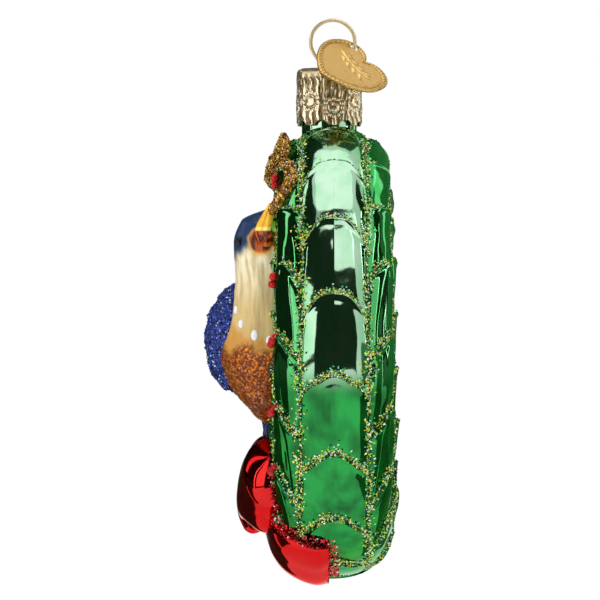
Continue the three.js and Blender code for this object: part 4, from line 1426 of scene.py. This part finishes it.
class ORNAMENT_OT_cap(Operator):
    """Build the stamped cap: eight flats with ribs and rosettes, and a scalloped skirt"""

    bl_idname = "ornament.cap"
    bl_label = "Cap"

    HOLE = 1.15
    TURN = math.radians(8)
    FLAT = math.tau / 8
    RIB_PITCH = 1.55
    HIGH_ROSETTE, LOW_ROSETTE = -15.6, -16.9

    def execute(self, context):
        metals = context.scene.ornament_metals
        columns, rows = 320, 90
        bm = bmesh.new()
        bmesh.ops.create_grid(bm, x_segments=columns, y_segments=rows, size=0.5)
        low = bm.verts.layers.float.new("low")
        for vert in bm.verts:
            vert.co, vert[low] = self.place(vert.co.x + 0.5, vert.co.y + 0.5, metals.emboss / MM)
        seal(bm)
        outer = max(bm.faces, key=lambda face: face.calc_center_median().x)
        if outer.normal.x < 0:
            bmesh.ops.reverse_faces(bm, faces=bm.faces)
        bmesh.ops.translate(bm, verts=bm.verts, vec=FORWARD * NECK_FORWARD)
        piece = finish_piece("stamped_cap", bm, "cap_plating", "cap", "cap_brass", ["cap"])
        wall = piece.modifiers.new("sheet", "SOLIDIFY")
        wall.thickness = metals.sheet
        wall.offset = -1
        return {"FINISHED"}

    def place(self, around, down, emboss):
        """A point of the outside, from the hole over the edge and down the flats, and how dark it is:
        tarnished with painted shade, more in the ribs' low places and on the even flats.
        """
        angle = around * math.tau
        turned = (angle - self.TURN + self.FLAT / 2) % self.FLAT - self.FLAT / 2
        flat = CAP_WIDTH / 2
        out = min(1 / math.cos(turned), 1.058 - 0.25 * max(0, abs(turned) - 0.33))
        top_share, edge_share = 0.2, 0.32
        if down < top_share:
            r = self.HOLE + (flat - CAP_EDGE - self.HOLE) * down / top_share
            return polar(r * (1 + (out - 1) * down / top_share), angle, CAP_TOP), 0.5
        if down < edge_share:
            part = (down - top_share) / (edge_share - top_share) * math.pi / 2
            r = flat - CAP_EDGE * (1 - math.sin(part))
            z = CAP_TOP - CAP_EDGE * (1 - math.cos(part))
            return polar(r * out, angle, z), 0.5
        share = (down - edge_share) / (1 - edge_share)
        side = flat * math.tan(turned)
        corner = max(0.0, 1 - ((flat * math.tan(self.FLAT / 2) - abs(side)) / 1.5) ** 2)
        foot = CAP_SKIRT - 1 + math.sqrt(corner)
        z = CAP_TOP - CAP_EDGE + (foot - CAP_TOP + CAP_EDGE) * share
        number = round((angle - self.TURN) / self.FLAT) % 8
        height = self.relief(side, z, number)
        r = flat * out + emboss * height * smooth(share * 8)
        # Painted shade: the even flats are darker
        line = 0.05 if number % 2 else 0.2
        tarnish_and_shade = 0.5 + (smooth((line - height) / 0.35) - 0.5) * smooth(share * 8)
        return polar(r, angle, z), tarnish_and_shade

    def relief(self, side, z, number):
        """Wavy upright ribs, with a beaded rosette on each flat."""
        middle = self.HIGH_ROSETTE if number % 2 else self.LOW_ROSETTE
        from_middle = math.hypot(side, z - middle)
        clear = smooth((from_middle - 1.9) / 0.5)
        sway = side + 0.8 * wander(Vector((number * 9, 0, z)), 1.9, 6)
        ribs = math.cos(sway * math.tau / self.RIB_PITCH)
        ribs += 1.1 * wander(Vector((side * 1.6, number * 5, z * 0.6)), 0.9, 8)
        turn = math.atan2(z - middle, side)
        disc = 0.7 * (1 - smooth((from_middle - 1.0) / 0.15)) - 0.5 * bump_at(from_middle, 1.28, 0.13)
        disc += 0.9 * bump_at(from_middle, 0, 0.9)
        beads = bump_at(from_middle, 1.75, 0.26) * (0.5 + 0.5 * math.cos(12 * turn))
        petals = bump_at(from_middle, 0.5, 0.2) * (0.5 + 0.5 * math.cos(5 * turn))
        fold = bump_at(abs(side), 2.5, 0.18)
        return 0.5 * ribs * clear + disc + 0.9 * beads + 0.25 * petals + 0.3 * fold


class ORNAMENT_OT_ring(Operator):
    """Build the wire ring and its spring legs"""

    bl_idname = "ornament.ring"
    bl_label = "Hanging ring"

    def execute(self, context):
        half, spread = 0.5, 3.69
        leg = [
            (spread, CAP_TOP - 12),
            (spread * 0.97, CAP_TOP - 9.6),
            (spread * 0.62, CAP_TOP - 5.04),
            (half, CAP_TOP - 1.4),
            (half, CAP_TOP + 0.05),
        ]
        start = math.asin(half / RING_RADIUS) + 0.16
        loop = []
        for step in range(21):
            angle = -math.pi / 2 + start + (math.tau - 2 * start) * step / 20
            loop.append((RING_RADIUS * math.cos(angle), RING_MIDDLE + RING_RADIUS * math.sin(angle)))
        right = [(out - NECK_FORWARD, z) for out, z in leg]
        left = [(-out - NECK_FORWARD, z) for out, z in reversed(leg)]
        stations = [((0, y, z), WIRE_RADIUS, WIRE_RADIUS) for y, z in right + loop + left]
        bm = lofted(stations, lambda _: Vector((1, 0, 0)), sides=18, steps=260, even=True)
        finish_piece("wire_ring", bm, "wire_plating", "hanger", "wire_gold", ["hanging_ring"])
        return {"FINISHED"}


class ORNAMENT_OT_tag(Operator):
    """Build the stamped heart tag with its rope border"""

    bl_idname = "ornament.tag"
    bl_label = "Heart tag"

    WIDTH = 14.8
    HEIGHT = 13.5
    RIM = 0.9
    SHEET = 0.4
    RIM_HEIGHT = 0.75
    HOLE = Vector((-4.15, 0.95, 0))
    HOLE_RADIUS = 0.95
    SAMPLES = 96  # of each of the outline's four curves

    def execute(self, context):
        around, rings = 4 * self.SAMPLES, 72
        outer = self.outline(self.WIDTH, self.HEIGHT, 0)
        inner = self.outline(self.WIDTH - 2 * self.RIM, self.HEIGHT - 2.4 * self.RIM, -0.9 * self.RIM)
        bm = ball(around, rings)
        low = bm.verts.layers.float.new("low")
        for vert in bm.verts:
            index = round(math.atan2(vert.co.y, vert.co.x) / math.tau * around) % around
            level = 2 * math.asin(clamp(abs(vert.co.z))) / math.pi
            face = 1 if vert.co.z > 0 else -1
            vert.co, vert[low] = self.place(outer[index], inner[index], index, level, face)
        seal(bm)
        piece = finish_piece("tag_form", bm, "tag_plating", "tag", "tag_brass", ["heart_tag"], sharp=50)
        self.punch(piece)
        piece.data.transform(self.hung())
        return {"FINISHED"}

    def outline(self, width, height, rise):
        """The heart's outline. Its notch is at the origin and its point straight below."""
        half = width / 2
        right = [(0, 0), (0.1, 0.23), (0.95, 0.31), (1, -0.26)]
        below = [(1, -0.26), (1.03, -0.55), (0.45, -0.93), (0, -1)]
        curves = [right, below]
        curves += [[(-x, y) for x, y in reversed(curve)] for curve in (below, right)]
        points = []
        for curve in curves:
            corners = [Vector((x * half, y * height + rise, 0)) for x, y in curve]
            for step in range(self.SAMPLES):
                t = step / self.SAMPLES
                shares = ((1 - t) ** 3, 3 * t * (1 - t) ** 2, 3 * t**2 * (1 - t), t**3)
                points.append(sum((corner * share for corner, share in zip(corners, shares)), Vector()))
        return points

    def place(self, outer, inner, index, level, face):
        """A point of the tag and how dark it is: tarnished with painted shade between the rope's strands and
        inside the border, lighter on the raised sprig. The level is 1 mid-face and 0 on the outer edge.
        """
        middle = Vector((0, -0.36 * self.HEIGHT, 0))
        border = 0.3
        if level < border:
            part = 1 - level / border
            spot = inner.lerp(outer, part)
            strand = abs(math.sin(index * math.pi * 14 / self.SAMPLES + 2.2 * part))
            round_top = math.sqrt(max(0.0, 1 - (2 * part - 1) ** 2))
            height = self.SHEET / 2 * (1 - part**6)
            height += (self.RIM_HEIGHT - self.SHEET) / 2 * round_top * (0.45 + 0.55 * strand)
            # Painted shade between the rope's strands, on tarnished metal
            return Vector((spot.x, spot.y, face * height)), 0.15 + 0.85 * (1 - strand) ** 1.5
        share = (1 - level) / (1 - border)
        spot = middle.lerp(inner, share)
        raised = self.sprig(spot)
        height = self.SHEET / 2 + raised - 0.06 * bump_at(share, 0.97, 0.03)
        # Painted shade inside the border on tarnished metal, lighter on the raised sprig
        tarnish_and_shade = 0.35 + 0.65 * bump_at(share, 0.985, 0.03) - 1.5 * raised
        return Vector((spot.x, spot.y, face * height)), clamp(tarnish_and_shade)

    def sprig(self, spot):
        """A plain raised sprig: a bent stem with leaves in pairs."""
        x, y = spot.x, spot.y + 3.4
        stem_y = 0.05 * x * x - 0.4
        height = bump_at(y, stem_y, 0.22) * (1 - smooth((abs(x) - 3.6) / 0.8))
        for place in (-2.8, -1.2, 0.5, 2.2):
            for hand in (-1, 1):
                along, across = x - place - 0.7, y - 0.05 * place * place + 0.4 - hand * 1.0
                turned = (along * 0.8 + across * 0.6 * hand, across * 0.8 - along * 0.6 * hand)
                height += math.exp(-((turned[0] / 0.8) ** 2) - (turned[1] / 0.34) ** 2)
        return 0.24 * min(height, 1)

    def punch(self, piece):
        """Cut the hole for the ring through one lobe."""
        bm = bmesh.new()
        bmesh.ops.create_cone(
            bm, cap_ends=True, segments=48, radius1=self.HOLE_RADIUS, radius2=self.HOLE_RADIUS, depth=4
        )
        bmesh.ops.translate(bm, verts=bm.verts, vec=self.HOLE)
        bmesh.ops.scale(bm, vec=(MM, MM, MM), verts=bm.verts)
        cutter = in_scene("punch", mesh_of("punch", bm))
        cut = piece.modifiers.new("hole", "BOOLEAN")
        cut.operation, cut.solver, cut.object = "DIFFERENCE", "EXACT", cutter
        made = bpy.data.meshes.new_from_object(piece.evaluated_get(bpy.context.evaluated_depsgraph_get()))
        piece.modifiers.clear()
        piece.data = made
        bpy.data.objects.remove(cutter)

    def hung(self):
        """Where the tag hangs: its hole on the ring, leaning on the cap's rounded edge."""
        facing, spin, place = (math.radians(turn) for turn in (38.4, 16, -13.7))
        pivot = Vector((0, RING_RADIUS * math.cos(place), RING_MIDDLE + RING_RADIUS * math.sin(place)))
        aside = (pivot.y + NECK_FORWARD) * math.sin(facing)
        reach = CAP_WIDTH / 2 / math.cos(math.pi / 8) - CAP_EDGE - aside
        drop = pivot.z - (CAP_TOP - CAP_EDGE)
        clear = CAP_EDGE + 0.3 + self.RIM_HEIGHT / 2
        lean = math.atan2(drop, reach) - math.asin(clear / math.hypot(drop, reach))
        turn = Matrix.Rotation(facing, 4, "Z") @ Matrix.Rotation(lean, 4, "Y")
        turn = turn @ Matrix.Rotation(spin, 4, "Z")
        return Matrix.Translation((pivot - turn @ self.HOLE) * MM) @ turn


def toward(turn, rise):
    """The direction at two angles in degrees: round from +X, and up from level."""
    turn, rise = math.radians(turn), math.radians(rise)
    return polar(math.cos(rise), turn, math.sin(rise))


class ORNAMENT_OT_stage(Operator):
    """Set the camera, floor, lamps, dark cards and background"""

    bl_idname = "ornament.stage"
    bl_label = "Stage"

    AIM = Vector((0, -0.0064, -0.0542))
    PICTURE_WIDTH = 0.117  # in metres, at the ornament
    SENSOR = 36

    def execute(self, context):
        scene = context.scene
        settings = scene.ornament_stage
        scene.view_settings.view_transform = "Standard"
        self.camera(scene, settings)
        self.world(scene, settings)
        self.floor(settings)
        self.card("card_left", shade=0.02, away=0.8, start=-165, sweep=207, low=-9, high=62)
        self.card("card_right", shade=0.02, away=0.8, start=80, sweep=32, low=-9, high=62)
        self.card("card_behind", shade=0.15, away=0.8, start=112, sweep=83, low=-9, high=36)
        self.card("card_behind_high", shade=0.06, away=0.8, start=150, sweep=45, low=36, high=60)
        self.card("card_low_front", shade=0.02, away=0.3, start=-28, sweep=66, low=-16, high=-6)
        self.card("card_low_right", shade=0.16, away=0.13, start=46, sweep=40, low=-62, high=-6)
        self.card("card_low_back", shade=0.16, away=0.13, start=95, sweep=55, low=-62, high=-6)
        self.card("card_low_left", shade=0.06, away=0.13, start=-108, sweep=26, low=-62, high=-8)
        self.card("card_low_rear", shade=0.06, away=0.13, start=-165, sweep=48, low=-62, high=-8)
        self.lamp("left_box", turn=-54, rise=8, wide=0.5, high=0.3, level=1.6)
        self.lamp("right_box", turn=24, rise=44, wide=0.36, high=0.34, level=1.4)
        self.lamp("top_box", turn=0, rise=88, wide=0.46, high=0.6, level=0.55)
        self.lamp("front_box", turn=-118, rise=30, wide=0.12, high=0.5, level=1.6, away=0.7)
        self.lamp("back_box", turn=130, rise=25, wide=0.12, high=0.5, level=1.2, away=0.7)
        self.lamp("left_strip", turn=-84, rise=12, wide=0.02, high=0.5, level=5.0, away=0.66)
        self.lamp("right_strip", turn=82, rise=20, wide=0.03, high=0.6, level=5.0, away=0.66)
        self.lamp("rear_strip", turn=104, rise=10, wide=0.02, high=0.5, level=4.0, away=0.66)
        return {"FINISHED"}

    def camera(self, scene, settings):
        data = bpy.data.cameras.new("camera")
        data.sensor_width = self.SENSOR
        data.lens = settings.distance / self.PICTURE_WIDTH * self.SENSOR
        data.clip_start, data.clip_end = 0.01, 20
        camera = in_scene("camera", data)
        camera.location = self.AIM + Vector((settings.distance, 0, 0))
        camera.rotation_euler = (math.pi / 2, 0, math.pi / 2)
        scene.camera = camera

    def shown(self, tree):
        """1 for the rays that show the background: camera, glossy and transmission rays."""
        rays = node(tree, "LightPath").outputs
        seen = maths(tree, "MAXIMUM", rays["Is Camera Ray"], rays["Is Glossy Ray"])
        return maths(tree, "MAXIMUM", seen, rays["Is Transmission Ray"])

    def world(self, scene, settings):
        world = bpy.data.worlds.new("studio")
        scene.world = world
        world.use_nodes = True
        tree = world.node_tree
        strength = ranged(tree, self.shown(tree), settings.fill, 1.0)
        fill(tree, tree.nodes["Background"], {"Color": (1, 1, 1), "Strength": strength})

    def floor(self, settings):
        """Pale paper that shows only from above."""
        material, tree, shader = new_material(
            "floor_paper", Roughness=0.8, Base_Color=(0.9, 0.9, 0.9), Emission_Color=(1, 1, 1)
        )
        fill(tree, shader, {"Emission Strength": ranged(tree, self.shown(tree), 0.0, 0.12)})
        clear = node(tree, "BsdfTransparent").outputs["BSDF"]
        under = node(tree, "NewGeometry").outputs["Backfacing"]
        either = node(tree, "MixShader", {"Fac": under, 1: shader.outputs["BSDF"], 2: clear})
        fill(tree, tree.nodes["Material Output"], {"Surface": either.outputs["Shader"]})
        bm = bmesh.new()
        bmesh.ops.create_circle(bm, cap_ends=True, segments=96, radius=0.68)
        bmesh.ops.translate(bm, verts=bm.verts, vec=(0, 0, CAD_BOX[0].z - settings.drop))
        self.stage_piece("floor", bm, material)

    def card(self, name, shade, away, start, sweep, low, high):
        """A dark card that only mirror surfaces see: part of a ball round the ornament, in degrees."""
        tint = (0.7 * shade, 1.4 * shade, 0.8 * shade)
        material = new_material(name, Roughness=1.0, Specular_IOR_Level=0.0, Base_Color=tint)[0]
        bm = bmesh.new()
        verts = []
        for step in range(9):
            verts.append(bm.verts.new(self.AIM + away * toward(start, low + (high - low) * step / 8)))
        turned_edge(bm, verts, self.AIM, math.radians(sweep), 48)
        card = self.stage_piece(name, bm, material)
        card.visible_camera = card.visible_diffuse = card.visible_shadow = False

    def stage_piece(self, name, bm, material):
        piece = in_scene(name, mesh_of(name, bm))
        piece.data.materials.append(material)
        piece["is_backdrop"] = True
        return piece

    def lamp(self, name, turn, rise, wide, high, level, away=0.62):
        """A soft box by its direction from the ornament. Level is its brightness, 1 being white."""
        data = bpy.data.lights.new(name, "AREA")
        data.shape = "RECTANGLE"
        data.size, data.size_y = wide, high
        data.energy = level * math.pi * wide * high
        lamp = in_scene(name, data)
        lamp.location = self.AIM + away * toward(turn, rise)
        lamp.rotation_euler = toward(turn, rise).to_track_quat("Z", "Y").to_euler()


BUILD_ORDER = (
    ORNAMENT_OT_materials,
    ORNAMENT_OT_wreath,
    ORNAMENT_OT_leaf_glitter,
    ORNAMENT_OT_bird,
    ORNAMENT_OT_red_bow,
    ORNAMENT_OT_gold_bow,
    ORNAMENT_OT_berries,
    ORNAMENT_OT_cap,
    ORNAMENT_OT_ring,
    ORNAMENT_OT_tag,
    ORNAMENT_OT_stage,
)
SETTINGS = {
    "ornament_wreath": WreathSettings,
    "ornament_bird": BirdSettings,
    "ornament_bows": BowSettings,
    "ornament_metals": MetalSettings,
    "ornament_glitter": GlitterSettings,
    "ornament_stage": StageSettings,
}


class ORNAMENT_PT_sidebar(Panel):
    """Lists the ornament's settings and the operators that build it"""

    bl_label = "Bird ornament"
    bl_space_type = "VIEW_3D"
    bl_region_type = "UI"
    bl_category = "Ornament"

    def draw(self, context):
        layout = self.layout
        for name, kind in SETTINGS.items():
            box = layout.box()
            box.label(text=name.replace("ornament_", "").title())
            for setting in kind.__annotations__:
                box.prop(getattr(context.scene, name), setting)
        for operator in BUILD_ORDER:
            layout.operator(operator.bl_idname)


def register():
    for kind in (*SETTINGS.values(), *BUILD_ORDER, ORNAMENT_PT_sidebar):
        register_class(kind)
    for name, kind in SETTINGS.items():
        setattr(bpy.types.Scene, name, PointerProperty(type=kind))


def unregister():
    for name in SETTINGS:
        delattr(bpy.types.Scene, name)
    for kind in (ORNAMENT_PT_sidebar, *reversed(BUILD_ORDER), *SETTINGS.values()):
        unregister_class(kind)


def main():
    register()
    for operator in BUILD_ORDER:
        family, name = operator.bl_idname.split(".")
        getattr(getattr(bpy.ops, family), name)()
    sizes = {"cad": CAD_BOX, "visual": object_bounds()}
    {key: [list(corner) for corner in box] for key, box in sizes.items()}


if __name__ == "__main__":
    main()
